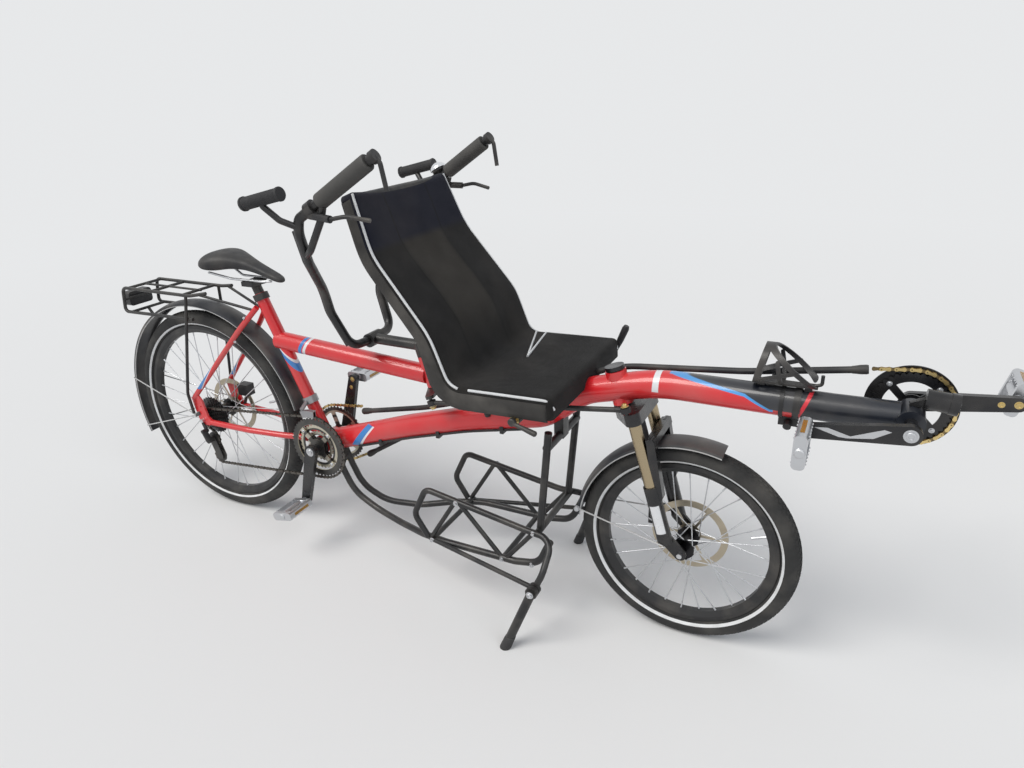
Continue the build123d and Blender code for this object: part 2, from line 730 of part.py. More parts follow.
def make_stoker_chains():
    half = CHAIN_HEIGHT / 2
    nose = [
        (LOWER_FRONT_MOUTH[0] - 60, LOWER_FRONT_MOUTH[1] + 6, 5),
        (STOKER_BB[0], STOKER_BB[2], STOKER_RING_R + CHAIN_GAP + half),
        (UPPER_FRONT_MOUTH[0] - 60, UPPER_FRONT_MOUTH[1] - 10, 5),
    ]
    tail = [
        (BB_X, BB_Z, LEFT_RING_R + CHAIN_GAP + half),
        (LOWER_REAR_MOUTH[0] + 60, LOWER_REAR_MOUTH[1] + 40, 5),
        (UPPER_REAR_MOUTH[0] + 60, UPPER_REAR_MOUTH[1] + 18, 5),
    ]
    front = belt(nose, CHAIN_HEIGHT, STOKER_CHAIN_Y, CHAIN_WIDTH)
    rear = belt(tail, CHAIN_HEIGHT, STOKER_CHAIN_Y, CHAIN_WIDTH)
    front -= block((1500, UPPER_FRONT_MOUTH[0]), (0, 100), (0, 1000))
    rear -= block((UPPER_REAR_MOUTH[0], 900), (0, 100), (0, 1000))
    return front + rear - make_chain_tubes()


def make_chain_tubes():
    y = STOKER_CHAIN_Y
    upper = pipe(
        [
            (UPPER_FRONT_MOUTH[0] - 1, y, UPPER_FRONT_MOUTH[1]), (1570, y, 674), (1290, y, 648),
            (1090, y, 556), (745, y, 449), (UPPER_REAR_MOUTH[0] + 1, y, UPPER_REAR_MOUTH[1]),
        ],
        CHAIN_TUBE_R,
        [900, 300, 500, 600],
    )
    lower = pipe(
        [
            (LOWER_FRONT_MOUTH[0] - 1, y, LOWER_FRONT_MOUTH[1]), (1600, y, 612), (1400, y, 624),
            (1280, y, 618), (1090, y, 520), (760, y, 405), (LOWER_REAR_MOUTH[0] + 1, y, LOWER_REAR_MOUTH[1]),
        ],
        CHAIN_TUBE_R,
        [600, 600, 200, 500, 300],
    )
    bracket = rod((1628, 24, 618), (1628, y, 612), 4) + rod((1628, 24, 664), (1628, y, 683), 4)
    return upper + lower + bracket - pipe(MAIN_LINE, MAIN_TUBE_R, MAIN_BENDS)


def sprocket_r(number):
    return LARGEST_SPROCKET_R - SPROCKET_STEP_R * number


def sprocket_y(number):
    return DRIVE_CHAIN_Y + SPROCKET_PITCH * (CHAIN_SPROCKET - number)


def make_cassette():
    body_end = sprocket_y(0) + 2
    body = across(0, REAR_TYRE_R, 17, sprocket_y(SPROCKETS - 1) - 1, body_end)
    for number in range(SPROCKETS):
        y = sprocket_y(number)
        tip_r = sprocket_r(number)
        face = toothed(round(2 * pi * tip_r / CHAIN_PITCH), tip_r, tip_r - TOOTH_HEIGHT + 1)
        body += slab(Pos(0, REAR_TYRE_R) * face, y - SPROCKET_HALF, y + SPROCKET_HALF)
    return body - across(0, REAR_TYRE_R, REAR_BARREL_END_R + 0.02, -80, 0)


def make_derailleur():
    y = DRIVE_CHAIN_Y
    plate = link_outline(GUIDE_PULLEY, 13, TENSION_PULLEY, 13)
    plates = slab(plate, y - 8, y - 6) + slab(plate, y + 6, y + 8)
    wheels = fuse([
        across(pulley[0], pulley[1], PULLEY_R, y - 1.2, y + 1.2) + across(pulley[0], pulley[1], 5, y - 6, y + 6)
        for pulley in (GUIDE_PULLEY, TENSION_PULLEY)
    ])
    body = rod((6, -84, 299), (8, -76, 264), 9)
    joint = across(8, 262, 8, -80, y - 7)
    hanger = slab(link_outline((-4, 318), 5, (6, 299), 8), -75.5, -72.2)
    bolt = across(6, 299, 6, -92, -73)
    return plates + wheels + body + joint + hanger + bolt


def make_front_derailleur():
    low_r = BIG_RING_R + 4
    high_r = low_r + 20
    arc = Circle(high_r) - Circle(low_r)
    far = 160
    wedge = outline([(0, 0)] + [
        (far * cos(radians(angle)), far * sin(radians(angle))) for angle in (86, 111)
    ])
    face = Pos(BB_X, BB_Z) * (arc & wedge)
    y = DRIVE_CHAIN_Y
    cage = slab(face, y - 6, y - 4.2) + slab(face, y + 4.2, y + 6)
    roof = Pos(BB_X, BB_Z) * ((Circle(high_r) - Circle(high_r - 2.5)) & wedge)
    cage += slab(roof, y - 6, y + 6)
    band = rod((388, 0, 426), (380, 0, 445), SEAT_TUBE_R + 4)
    arm = rod((384, -16, 436), (392, y + 5, 424), 6)
    return cage + band + arm - rod(CAPTAIN_BB, SEAT_TUBE_TOP, SEAT_TUBE_R)


def make_rear_caliper():
    x, z = 66, 396
    body = block((x - 20, x + 20), (REAR_ROTOR_Y - 16, REAR_ROTOR_Y + 14), (z - 17, z + 19))
    slot = across(0, REAR_TYRE_R, ROTOR_R + 5, REAR_ROTOR_Y - 3, REAR_ROTOR_Y + 3)
    arm = rod((x - 6, REAR_ROTOR_Y + 9, z - 10), (30, 68, 334), 5)
    return body - slot + arm - pipe(CHAINSTAY, STAY_R, CHAINSTAY_BENDS) - make_dropout()


def toothed(teeth, tip_r, root_r):
    """Flat toothed disc."""
    points = []
    for number in range(teeth):
        for share, radius in ((0.0, root_r), (0.36, tip_r), (0.64, tip_r)):
            angle = 2 * pi * (number + share) / teeth
            points.append((radius * cos(angle), radius * sin(angle)))
    return outline(points)


def ring_plate(centre, teeth, outer_r, depth, y, arms):
    """Toothed ring of some depth, on a spider with as many arms."""
    inner_r = outer_r - depth
    face = toothed(teeth, outer_r, outer_r - TOOTH_HEIGHT) - Circle(inner_r)
    for number in range(arms):
        turn = 360.0 / arms * (number + 0.5)
        face += Rot(0, 0, turn) * (Pos(inner_r / 2 + 4, 0) * Rectangle(inner_r + 8, 15))
    face += Circle(26)
    return slab(Pos(centre[0], centre[2]) * face, y - 1.25, y + 1.25)


def crank_arm(centre, angle, side):
    tip = (centre[0] + CRANK_LENGTH * cos(radians(angle)), centre[2] + CRANK_LENGTH * sin(radians(angle)))
    shape = link_outline((centre[0], centre[2]), 19, tip, 14)
    low, high = sorted((side * CRANK_INNER_Y, side * (CRANK_INNER_Y + CRANK_THICK)))
    arm = slab(shape, low, high)
    spindle_end = side * (PEDAL_INNER_Y + PEDAL_WIDTH - 6)
    spindle = across(tip[0], tip[1], SPINDLE_R, side * CRANK_INNER_Y, spindle_end)
    return arm + spindle


def make_cranks(centre, right_angle):
    left_angle = right_angle + 180
    axle = across(centre[0], centre[2], BB_AXLE_R, -CRANK_INNER_Y - 6, CRANK_INNER_Y + 6)
    return crank_arm(centre, right_angle, -1) + crank_arm(centre, left_angle, 1) + axle


def make_captain_rings():
    x, _, z = CAPTAIN_BB
    rings = ring_plate(CAPTAIN_BB, 46, BIG_RING_R, 20, DRIVE_CHAIN_Y, 4)
    rings += ring_plate(CAPTAIN_BB, 34, MIDDLE_RING_R, 16, DRIVE_CHAIN_Y + 7, 4)
    rings += ring_plate(CAPTAIN_BB, 24, SMALL_RING_R, 12, DRIVE_CHAIN_Y + 13, 4)
    rings += across(x, z, 22, DRIVE_CHAIN_Y, DRIVE_CHAIN_Y + 14)
    left = ring_plate(CAPTAIN_BB, 42, LEFT_RING_R, 18, STOKER_CHAIN_Y, 5)
    return rings + left - across(x, z, BB_AXLE_R, -100, 100)


def make_stoker_ring():
    """Toothed ring with a plain chain guard on its outer side."""
    x, _, z = STOKER_BB
    y = STOKER_CHAIN_Y
    ring = ring_plate(STOKER_BB, 38, STOKER_RING_R, 20, y, 4)
    guard_face = Circle(STOKER_RING_R + 11) - Circle(STOKER_RING_R - 14)
    guard = slab(Pos(x, z) * guard_face, y + 4.5, y + 7)
    spacers = [
        across(x + 60 * cos(radians(angle)), z + 60 * sin(radians(angle)), 6, y, y + 8.5)
        for angle in (45, 135, 225, 315)
    ]
    return ring + guard + fuse(spacers) - across(x, z, BB_AXLE_R, -100, 100)


def make_pedal(centre, angle, side, roll):
    """Platform pedal: a rounded frame round a barrel that turns on the spindle."""
    tip_x = centre[0] + CRANK_LENGTH * cos(radians(angle))
    tip_z = centre[2] + CRANK_LENGTH * sin(radians(angle))
    half = PEDAL_LENGTH / 2
    inner, outer = PEDAL_INNER_Y, PEDAL_INNER_Y + PEDAL_WIDTH
    barrel = across(0, 0, 11, inner, outer)
    frame = block((-half, half), (inner + 2, outer), (-PEDAL_THICK / 2, PEDAL_THICK / 2))
    frame = fillet(frame.edges().filter_by(Axis.Y), 9)
    window = block((-half + 8, half - 8), (inner + 14, outer - 10), (-40, 40))
    pedal = barrel + (frame - window) - across(0, 0, SPINDLE_R + RUNNING_GAP, inner - 1, outer - 5)
    pedal = Pos(tip_x, 0, tip_z) * Rot(0, -roll, 0) * pedal
    return pedal if side > 0 else other_side(pedal)


# Steering
def make_fork_crown():
    plane = steer_plane(FORK_TOP, CROWN_S[1])
    edges = (Circle(24).edges() + (Pos(LEG_F, LEG_Y) * Circle(18.5)).edges()
             + (Pos(LEG_F, -LEG_Y) * Circle(18.5)).edges())
    crown = extrude(plane * make_hull(edges), CROWN_S[1] - CROWN_S[0])
    steerer = rod(on_steer_axis(FORK_TOP, -6), on_steer_axis(FORK_TOP, CROWN_S[0]), STEERER_R)
    cap = rod(on_steer_axis(FORK_TOP, -8), on_steer_axis(FORK_TOP, 1), HEAD_TUBE_R - 2)
    pin = rod(
        on_steer_axis(FORK_TOP, CROWN_S[0], LEVER_FORWARD, -LEVER_SIDE),
        on_steer_axis(FORK_TOP, CROWN_S[0] - 20, LEVER_FORWARD, -LEVER_SIDE),
        TIE_PIN_R,
    )
    return crown + steerer + cap + pin


def fork_leg(from_s, to_s, radius):
    """Round bar along the left fork leg."""
    return rod(
        on_steer_axis(FORK_TOP, from_s, LEG_F, LEG_Y), on_steer_axis(FORK_TOP, to_s, LEG_F, LEG_Y), radius
    )


def make_fork_stanchions():
    return both_sides(fork_leg(CROWN_S[1] + 0.3, LOWER_TOP_S - 0.3, STANCHION_R))


def make_fork_lowers():
    leg = fork_leg(LOWER_TOP_S, LOWER_END_S, LOWER_R)
    foot = on_steer_axis(FORK_TOP, LOWER_END_S - 7, LEG_F, LEG_Y)
    half = FRONT_OVER_LOCKNUT / 2
    dropout = slab(link_outline((foot[0], foot[2]), 15, (WHEELBASE, FRONT_TYRE_R), 14), half, half + 7)
    low = on_steer_axis(FORK_TOP, LOWER_TOP_S + 24, LEG_F + 12)
    high = on_steer_axis(FORK_TOP, (ARCH_S[0] + ARCH_S[1]) / 2, ARCH_F)
    post = slab(link_outline((low[0], low[2]), 12, (high[0], high[2]), 9), LEG_Y - 12, LEG_Y + 8)
    plane = steer_plane(FORK_TOP, ARCH_S[1])
    bridge = extrude(plane * (Pos(ARCH_F, 0) * Rectangle(21, 2 * LEG_Y + 12)), ARCH_S[1] - ARCH_S[0])
    hole = across(WHEELBASE, FRONT_TYRE_R, AXLE_R, -80, 80)
    return both_sides(leg + dropout + post - fork_leg(CROWN_S[1], LOWER_TOP_S, STANCHION_R + 0.3)) + bridge - hole


def make_front_axle():
    half = FRONT_OVER_LOCKNUT / 2
    return across(WHEELBASE, FRONT_TYRE_R, AXLE_R, -half - 13, half + 13)


def make_front_mudguard():
    guard = guard_arc(FRONT_HUB, FRONT_GUARD_R, GUARD_THICK, GUARD_WIDTH, 74, 174)
    outer = (
        WHEELBASE + FRONT_GUARD_R * cos(radians(170)),
        GUARD_WIDTH / 2 + 3,
        FRONT_TYRE_R + FRONT_GUARD_R * sin(radians(170)),
    )
    stay = rod(outer, (1447, 79.7, 283), WIRE_R)
    tab = rod(
        on_steer_axis(FORK_TOP, CROWN_S[1] + 0.3, 30), on_steer_axis(FORK_TOP, 440 - FRONT_GUARD_R - 1, 30), 8
    )
    return guard + both_sides(stay) + tab


def make_front_caliper():
    spot = on_steer_axis(FORK_TOP, 386, -8)
    x, z = spot[0], spot[2]
    body = block((x - 16, x + 16), (FRONT_ROTOR_Y - 14, FRONT_ROTOR_Y + 24), (z - 20, z + 20))
    slot = block((x - 12, x + 40), (FRONT_ROTOR_Y - 2.5, FRONT_ROTOR_Y + 2.5), (z - 40, z + 40))
    arm = rod((x, FRONT_ROTOR_Y + 17, z), on_steer_axis(FORK_TOP, 378, LEG_F, LEG_Y), 8)
    return body - slot + arm - fork_leg(LOWER_TOP_S, LOWER_END_S, LOWER_R)


def make_steering_stem():
    clamp = rod(on_steer_axis(COLUMN_TOP, -10), on_steer_axis(COLUMN_TOP, COLUMN_TUBE_S[0] - 1), COLUMN_TUBE_R)
    steerer = rod(on_steer_axis(COLUMN_TOP, 0), on_steer_axis(COLUMN_TOP, COLUMN_TUBE_S[1] + 12), STEERER_R)
    reach = rod((COLUMN_TOP[0], 0, COLUMN_TOP[2]), (BAR_CENTRE[0], 0, BAR_CENTRE[2]), 14)
    bar_clamp = across(BAR_CENTRE[0], BAR_CENTRE[2], 18, -24, 24)
    plane = steer_plane(COLUMN_TOP, LEVER_S[1])
    edges = Circle(21).edges() + (Pos(LEVER_FORWARD, -LEVER_SIDE) * Circle(11)).edges()
    lever = extrude(plane * make_hull(edges), LEVER_S[1] - LEVER_S[0])
    pin = rod(
        on_steer_axis(COLUMN_TOP, LEVER_S[1], LEVER_FORWARD, -LEVER_SIDE),
        on_steer_axis(COLUMN_TOP, LEVER_S[1] + 20, LEVER_FORWARD, -LEVER_SIDE),
        TIE_PIN_R,
    )
    return clamp + steerer + reach + bar_clamp + lever + pin - make_handlebar_arms()


def make_handlebar_arms():
    arm = pipe(BAR_LINE, BAR_R, BAR_BENDS)
    branch = pipe([(648, 210, 912), (690, 240, 935), (738, 248, 1004), (748, 249, 1032)], 8, [30, 20])
    tail = pipe([(676, 252, 985), (650, 276, 1003), (622, 290, 1034), (622, 290, 1048)], 7, [20, 8])
    rear_bar = rod((575, 290, 1038), (676, 291, 1060), BAR_R)
    return both_sides(arm + branch + tail + rear_bar)


def make_grips():
    rear = rod((571, 290, 1037), (679, 291, 1061), 14) + rod((566, 290, 1036), (572, 290, 1037.2), 16)
    front = rod(along_bar(0.30), along_bar(0.95), 18)
    return both_sides(rear + front) - make_handlebar_arms()


def along_bar(share):
    """Point on the straight top part of the handlebar."""
    start, stop = BAR_LINE[-2], BAR_LINE[-1]
    return tuple(first + share * (last - first) for first, last in zip(start, stop))


def make_bar_controls():
    ring = rod(along_bar(0.14), along_bar(0.22), 17)
    body = rod((712, 252, 1012), (778, 266, 1009), 8)
    blade = pipe([(778, 266, 1009), (815, 262, 1016), (866, 248, 1007)], 4.5, [60])
    pod = rod(along_bar(1.0), along_bar(1.05), 14)
    tip = along_bar(1.03)
    lever = pipe([tip, (tip[0] + 12, tip[1], tip[2] - 12), (tip[0] + 20, tip[1] - 2, tip[2] - 66)], 5, [10])
    return both_sides(ring + body + blade + pod + lever) - make_handlebar_arms()


def make_bar_cables():
    """Brake cable held behind each handlebar arm by three ties."""
    route = [(x - CABLE_SET_BACK, y, z) for x, y, z in BAR_LINE[1:6]]
    cable = pipe(route, CABLE_R, BAR_BENDS[1:4])
    for low, high in zip(BAR_LINE[1:4], BAR_LINE[2:5]):
        middle = [(first + last) / 2 for first, last in zip(low, high)]
        cable += rod((middle[0] - CABLE_SET_BACK, middle[1], middle[2]), middle, CABLE_R)
    return both_sides(cable) - make_handlebar_arms()


def make_frame_cables():
    """Two gear cables clipped below the main tube, from the cranks to the front seat."""
    drop = 27.5
    line = [(x, z - drop) for x, _, z in ((560, 0, 357.2), MAIN_LINE[1], MAIN_LINE[2], (1080, 0, 506.8))]
    cables = []
    for y in (-22, -14):
        lower = 0 if y == -22 else 4.5
        route = [(x, y, z - lower) for x, z in line]
        cables.append(pipe(route, CABLE_R, MAIN_BENDS[:2]))
    clips = [block((x - 5, x + 5), (-27, -9), (z - 9, z + 12)) for x, z in ((640, 356.8), (830, 417.1), (1020, 466))]
    return fuse(cables + clips) - pipe(MAIN_LINE, MAIN_TUBE_R + 0.3, MAIN_BENDS)


def make_tie_rod():
    rear = on_steer_axis(COLUMN_TOP, LEVER_S[1] + 12, LEVER_FORWARD, -LEVER_SIDE)
    front = on_steer_axis(FORK_TOP, CROWN_S[0] - 12, LEVER_FORWARD, -LEVER_SIDE)
    bar = rod(rear, front, TIE_ROD_R)
    for top, s in ((COLUMN_TOP, LEVER_S[1] + 12), (FORK_TOP, CROWN_S[0] - 12)):
        ends = [on_steer_axis(top, s + step, LEVER_FORWARD, -LEVER_SIDE) for step in (-6, 6)]
        bar += rod(ends[0], ends[1], 11)
    for top, s in ((COLUMN_TOP, LEVER_S[1] + 12), (FORK_TOP, CROWN_S[0] - 12)):
        ends = [on_steer_axis(top, s + step, LEVER_FORWARD, -LEVER_SIDE) for step in (-20, 20)]
        bar -= rod(ends[0], ends[1], TIE_PIN_R + RUNNING_GAP)
    return bar


def save(name, shape):
    """Writes one piece in its own file, with the origin below the middle of the bicycle."""
    export_step(Pos(-ORIGIN_X, 0, 0) * shape, f"parts/{name}.step")


def main():
    os.makedirs("parts", exist_ok=True)
    main_tube = make_main_tube()
    seat_tube = make_seat_tube(main_tube)
    save("main_beam", main_tube)
    save("seat_tube", seat_tube)
    save("top_tube", make_top_tube())
    save("chainstays", make_chainstays(main_tube))
    save("seatstays", make_seatstays(seat_tube))
    save("seat_post", make_seat_post())
    save("saddle", make_saddle())
    save("saddle_rails", make_saddle_rails())
    save("rear_rack", make_rack())
    save("rear_lamp", make_rear_lamp())
    save("front_lamp", make_front_lamp())
    save("rear_mudguard", make_rear_mudguard())
    save("seat_frame", make_seat_frame())
    save("seat_cover", make_seat_cover())
    save("load_rack", make_load_rack())
    save("boom", make_boom())
    save("boom_clamp", make_boom_clamp())
    save("bottle_cage", make_bottle_cage())
    save("drive_chain", make_drive_chain())
    save("stoker_chain", make_stoker_chains())
    save("chain_tubes", make_chain_tubes())
    save("frame_cables", make_frame_cables())
    save("rear_derailleur", make_derailleur())
    save("front_derailleur", make_front_derailleur())
    save("rear_caliper", make_rear_caliper())
    save("rear_axle", make_rear_axle())

    save("rear_tyre", make_tyre(REAR_TYRE_R, REAR_BEAD_R, REAR_HUB))
    save("rear_rim", make_rim(REAR_BEAD_R, REAR_HUB))
    rear_hub = make_hub(REAR_HUB, 28, 34, -22, REAR_BARREL_R, REAR_OVER_LOCKNUT / 2 - 2)
    rear_spokes = make_spokes(REAR_HUB, REAR_SPOKES, 28, 34, -22, REAR_BEAD_R - RIM_DEPTH)
    save("rear_hub", fuse([rear_hub] + rear_spokes))
    save("rear_rotor", make_rotor(REAR_HUB, REAR_ROTOR_Y, REAR_BARREL_END_R))
    save("cassette", make_cassette())

    save("front_tyre", make_tyre(FRONT_TYRE_R, FRONT_BEAD_R, FRONT_HUB))
    save("front_rim", make_rim(FRONT_BEAD_R, FRONT_HUB))
    front_hub = make_hub(FRONT_HUB, 26, 22, -30, 15, FRONT_OVER_LOCKNUT / 2 - 1)
    front_spokes = make_spokes(FRONT_HUB, FRONT_SPOKES, 26, 22, -30, FRONT_BEAD_R - RIM_DEPTH)
    save("front_hub", fuse([front_hub] + front_spokes))
    save("front_rotor", make_rotor(FRONT_HUB, FRONT_ROTOR_Y, 15 * 0.72))

    save("fork_crown", make_fork_crown())
    save("fork_stanchions", make_fork_stanchions())
    save("fork_lowers", make_fork_lowers())
    save("front_axle", make_front_axle())
    save("front_mudguard", make_front_mudguard())
    save("front_caliper", make_front_caliper())

    save("steering_stem", make_steering_stem())
    save("handlebar_arms", make_handlebar_arms())
    save("handlebar_grips", make_grips())
    save("bar_controls", make_bar_controls())
    save("bar_cables", make_bar_cables())
    save("tie_rod", make_tie_rod())

    save("captain_cranks", make_cranks(CAPTAIN_BB, CAPTAIN_ANGLE))
    save("captain_chainrings", make_captain_rings())
    save("stoker_cranks", make_cranks(STOKER_BB, STOKER_ANGLE))
    save("stoker_chainring", make_stoker_ring())
    for rider, centre, angle in (("captain", CAPTAIN_BB, CAPTAIN_ANGLE), ("stoker", STOKER_BB, STOKER_ANGLE)):
        for side_name, side, turn in (("right", -1, 0), ("left", 1, 180)):
            roll = PEDAL_ROLL[rider, side_name]
            save(f"{rider}_{side_name}_pedal", make_pedal(centre, angle + turn, side, roll))

    stand_leg = make_stand_leg()
    save("left_stand_leg", stand_leg)
    save("right_stand_leg", other_side(stand_leg))


main()
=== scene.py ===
from math import asin, atan2, copysign, cos, dist, hypot, inf, pi, radians, sin, sqrt, tan, tau

import bmesh
import bpy
from mathutils import Matrix, Vector


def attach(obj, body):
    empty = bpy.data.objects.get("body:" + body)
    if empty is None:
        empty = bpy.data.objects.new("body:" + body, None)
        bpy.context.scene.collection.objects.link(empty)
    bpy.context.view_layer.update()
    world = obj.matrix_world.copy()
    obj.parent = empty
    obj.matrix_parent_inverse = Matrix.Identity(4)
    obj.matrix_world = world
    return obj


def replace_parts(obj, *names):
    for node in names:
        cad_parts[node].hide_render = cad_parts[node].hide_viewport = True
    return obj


# Semi-recumbent tandem bicycle: finish, tread, chain links, mesh seat, trim and light.
# Places are written in millimetres in the bicycle's own coordinates, as the solids are: X forward
# from the rear axle, Y to the rider's left, Z up from the floor. at() turns them into metres in
# the frame, whose origin lies below the middle of the bicycle.

ORIGIN_X = 854.225
REAR_AXLE = (0.0, 331.0)
FRONT_AXLE = (1480.0, 253.0)
CAPTAIN_AXLE = (435.0, 315.0)
STOKER_AXLE = (1881.0, 645.0)
FORK_TOP = (1300.0, 660.0)
STEER_TILT = radians(16.0)
STEER_SINE = sin(STEER_TILT)
STEER_COSINE = cos(STEER_TILT)
SIDES = (("left", 1), ("right", -1))

# Camera, at the photograph's place and angle
CAMERA_PLACE = (1777.1, -1407.6, 1243.2)
CAMERA_AZIMUTH = radians(27.61)
CAMERA_DOWN = radians(22.56)
CAMERA_ROLL = radians(-2.32)
FOCAL_SHARE = 713.2 / 1024.0
SENSOR_WIDTH = 36.0

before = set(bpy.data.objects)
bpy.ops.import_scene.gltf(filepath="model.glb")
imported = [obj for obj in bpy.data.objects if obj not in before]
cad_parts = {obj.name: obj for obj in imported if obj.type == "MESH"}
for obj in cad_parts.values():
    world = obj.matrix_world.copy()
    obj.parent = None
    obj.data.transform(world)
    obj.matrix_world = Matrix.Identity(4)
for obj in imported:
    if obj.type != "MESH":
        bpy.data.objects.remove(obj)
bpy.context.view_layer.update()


def at(x, y, z):
    """Place in the frame, in metres, from bicycle coordinates in millimetres."""
    return Vector(((x - ORIGIN_X) / 1000.0, y / 1000.0, z / 1000.0))


def rgba(color):
    return (*color, 1.0)


# Colours
DUST = (0.30, 0.27, 0.23)
RUBBER_DUST = (0.20, 0.185, 0.165)
CLOTH_DUST = (0.16, 0.14, 0.12)
RED = (0.66, 0.012, 0.018)
BLUE = (0.02, 0.20, 0.55)
WHITE = (0.75, 0.76, 0.78)
INK = (0.008, 0.010, 0.016)
SKY = (0.06, 0.32, 0.72)
BACKDROP = (0.80, 0.81, 0.82)

EDGE_SOFT = 0.6
DUST_ROUGHENS = 0.22
DUST_PATCHES = (0.45, 0.75)
DUST_GRAIN = (0.3, 0.8)


# Material building
class Nodes:
    """Short names for making and joining the nodes of one tree."""

    def __init__(self, tree):
        self.tree = tree

    def node(self, kind, **settings):
        made = self.tree.nodes.new(kind)
        for key, value in settings.items():
            setattr(made, key, value)
        return made

    def feed(self, socket, value):
        """Links another node's output to a socket, or sets the socket to a plain value."""
        if hasattr(value, "is_output"):
            self.tree.links.new(value, socket)
        else:
            socket.default_value = value

    def math(self, operation, first, second=0.0):
        made = self.node("ShaderNodeMath", operation=operation)
        self.feed(made.inputs[0], first)
        self.feed(made.inputs[1], second)
        return made.outputs[0]

    def both(self, first, second):
        """1 where both shares are 1."""
        return self.math("MULTIPLY", first, second)

    def backdrop_rays(self):
        """1 for rays from the camera, from gloss and through glass, else 0."""
        rays = self.node("ShaderNodeLightPath").outputs
        seen = self.math("MAXIMUM", rays["Is Camera Ray"], rays["Is Glossy Ray"])
        return self.math("MAXIMUM", seen, rays["Is Transmission Ray"])

    def show(self, share, first, second, output_name):
        """Sends the first shader to the output where share is 0, and the second where it is 1."""
        blend = self.node("ShaderNodeMixShader")
        for socket, value in zip(blend.inputs, (share, first, second)):
            self.feed(socket, value)
        self.feed(self.tree.nodes[output_name].inputs["Surface"], blend.outputs[0])


class Paint(Nodes):
    """Material that starts from one colour and is painted over."""

    def __init__(self, name, color, metallic, roughness):
        self.material = bpy.data.materials.new(name)
        self.material.use_nodes = True
        super().__init__(self.material.node_tree)
        self.shader = self.tree.nodes["Principled BSDF"]
        self.place = self.node("ShaderNodeTexCoord").outputs["Object"]
        self.color = rgba(color)
        self.roughness = roughness
        self.set("Metallic", metallic)
        self.set("Roughness", roughness)

    def set(self, socket_name, value):
        self.feed(self.shader.inputs[socket_name], value)

    def axes(self):
        """X, Y and Z in the bicycle's own millimetres."""
        split = self.node("ShaderNodeSeparateXYZ")
        self.feed(split.inputs[0], self.place)
        x, y, z = (self.math("MULTIPLY", output, 1000.0) for output in split.outputs)
        return self.math("ADD", x, ORIGIN_X), y, z

    def slant(self, place, x_weight, z_weight):
        """Weighed distance in X and Z past a place, for slanted edges."""
        x, _, z = self.axes()
        past_x = self.math("MULTIPLY", self.math("SUBTRACT", x, place[0]), x_weight)
        past_z = self.math("MULTIPLY", self.math("SUBTRACT", z, place[1]), z_weight)
        return self.math("ADD", past_x, past_z)

    def radius(self, axle):
        """Distance from a wheel's or crank's axle."""
        x, _, z = self.axes()
        across = self.math("POWER", self.math("SUBTRACT", x, axle[0]), 2.0)
        up = self.math("POWER", self.math("SUBTRACT", z, axle[1]), 2.0)
        return self.math("SQRT", self.math("ADD", across, up))

    def spread(self, value, from_low, from_high, to_low=0.0, to_high=1.0):
        """Maps one range onto another, held at its ends."""
        made = self.node("ShaderNodeMapRange")
        names = ("Value", "From Min", "From Max", "To Min", "To Max")
        for name, number in zip(names, (value, from_low, from_high, to_low, to_high)):
            self.feed(made.inputs[name], number)
        return made.outputs[0]

    def between(self, value, low, high, soft=EDGE_SOFT):
        """1 where value lies between low and high, 0 elsewhere."""
        rise = self.spread(value, low - soft, low + soft)
        fall = self.spread(value, high - soft, high + soft, 1.0, 0.0)
        return self.both(rise, fall)

    def noise(self, scale, detail):
        made = self.node("ShaderNodeTexNoise")
        self.feed(made.inputs["Vector"], self.place)
        self.feed(made.inputs["Scale"], scale)
        self.feed(made.inputs["Detail"], detail)
        return made.outputs["Fac"]

    def wave(self, scale, direction, distortion=0.0):
        made = self.node("ShaderNodeTexWave", bands_direction=direction)
        self.feed(made.inputs["Vector"], self.place)
        self.feed(made.inputs["Scale"], scale)
        self.feed(made.inputs["Distortion"], distortion)
        return made.outputs["Fac"]

    def paint_over(self, share, color):
        """Lays another colour over the one so far, where share is 1."""
        mixed = self.node("ShaderNodeMix", data_type="RGBA")
        self.feed(mixed.inputs["Factor"], share)
        self.feed(mixed.inputs[6], self.color)
        self.feed(mixed.inputs[7], rgba(color))
        self.color = mixed.outputs[2]

    def stripe(self, value, low, high, color, within=None):
        """Lays a colour over where value lies between low and high, and within is 1."""
        share = self.between(value, low, high)
        self.paint_over(share if within is None else self.both(within, share), color)

    def clear_coat(self, weight, roughness):
        self.set("Coat Weight", weight)
        self.set("Coat Roughness", roughness)

    def bump(self, height, strength, depth):
        made = self.node("ShaderNodeBump")
        self.feed(made.inputs["Strength"], strength)
        self.feed(made.inputs["Distance"], depth)
        self.feed(made.inputs["Height"], height)
        self.set("Normal", made.outputs[0])

    def ripple(self, scale, detail, strength, depth):
        self.bump(self.noise(scale, detail), strength, depth)

    def dust(self, amount, scale=9.0, color=DUST):
        """Dull dirt in patches, which also roughens the surface."""
        patches = self.spread(self.noise(scale, 6.0), *DUST_PATCHES, 0.0, amount)
        self.paint_over(patches, color)
        rough = self.roughness
        grain = self.noise(scale * 3.0, 5.0)
        self.set("Roughness", self.spread(grain, *DUST_GRAIN, rough, rough + DUST_ROUGHENS))

    def done(self):
        self.set("Base Color", self.color)
        return self.material


def frame_coat(name):
    """Red gloss frame paint under a clear coat, with a faint ripple."""
    paint = Paint(name, RED, 0.0, 0.3)
    paint.clear_coat(0.7, 0.08)
    paint.ripple(700.0, 2.0, 0.05, 0.0004)
    return paint


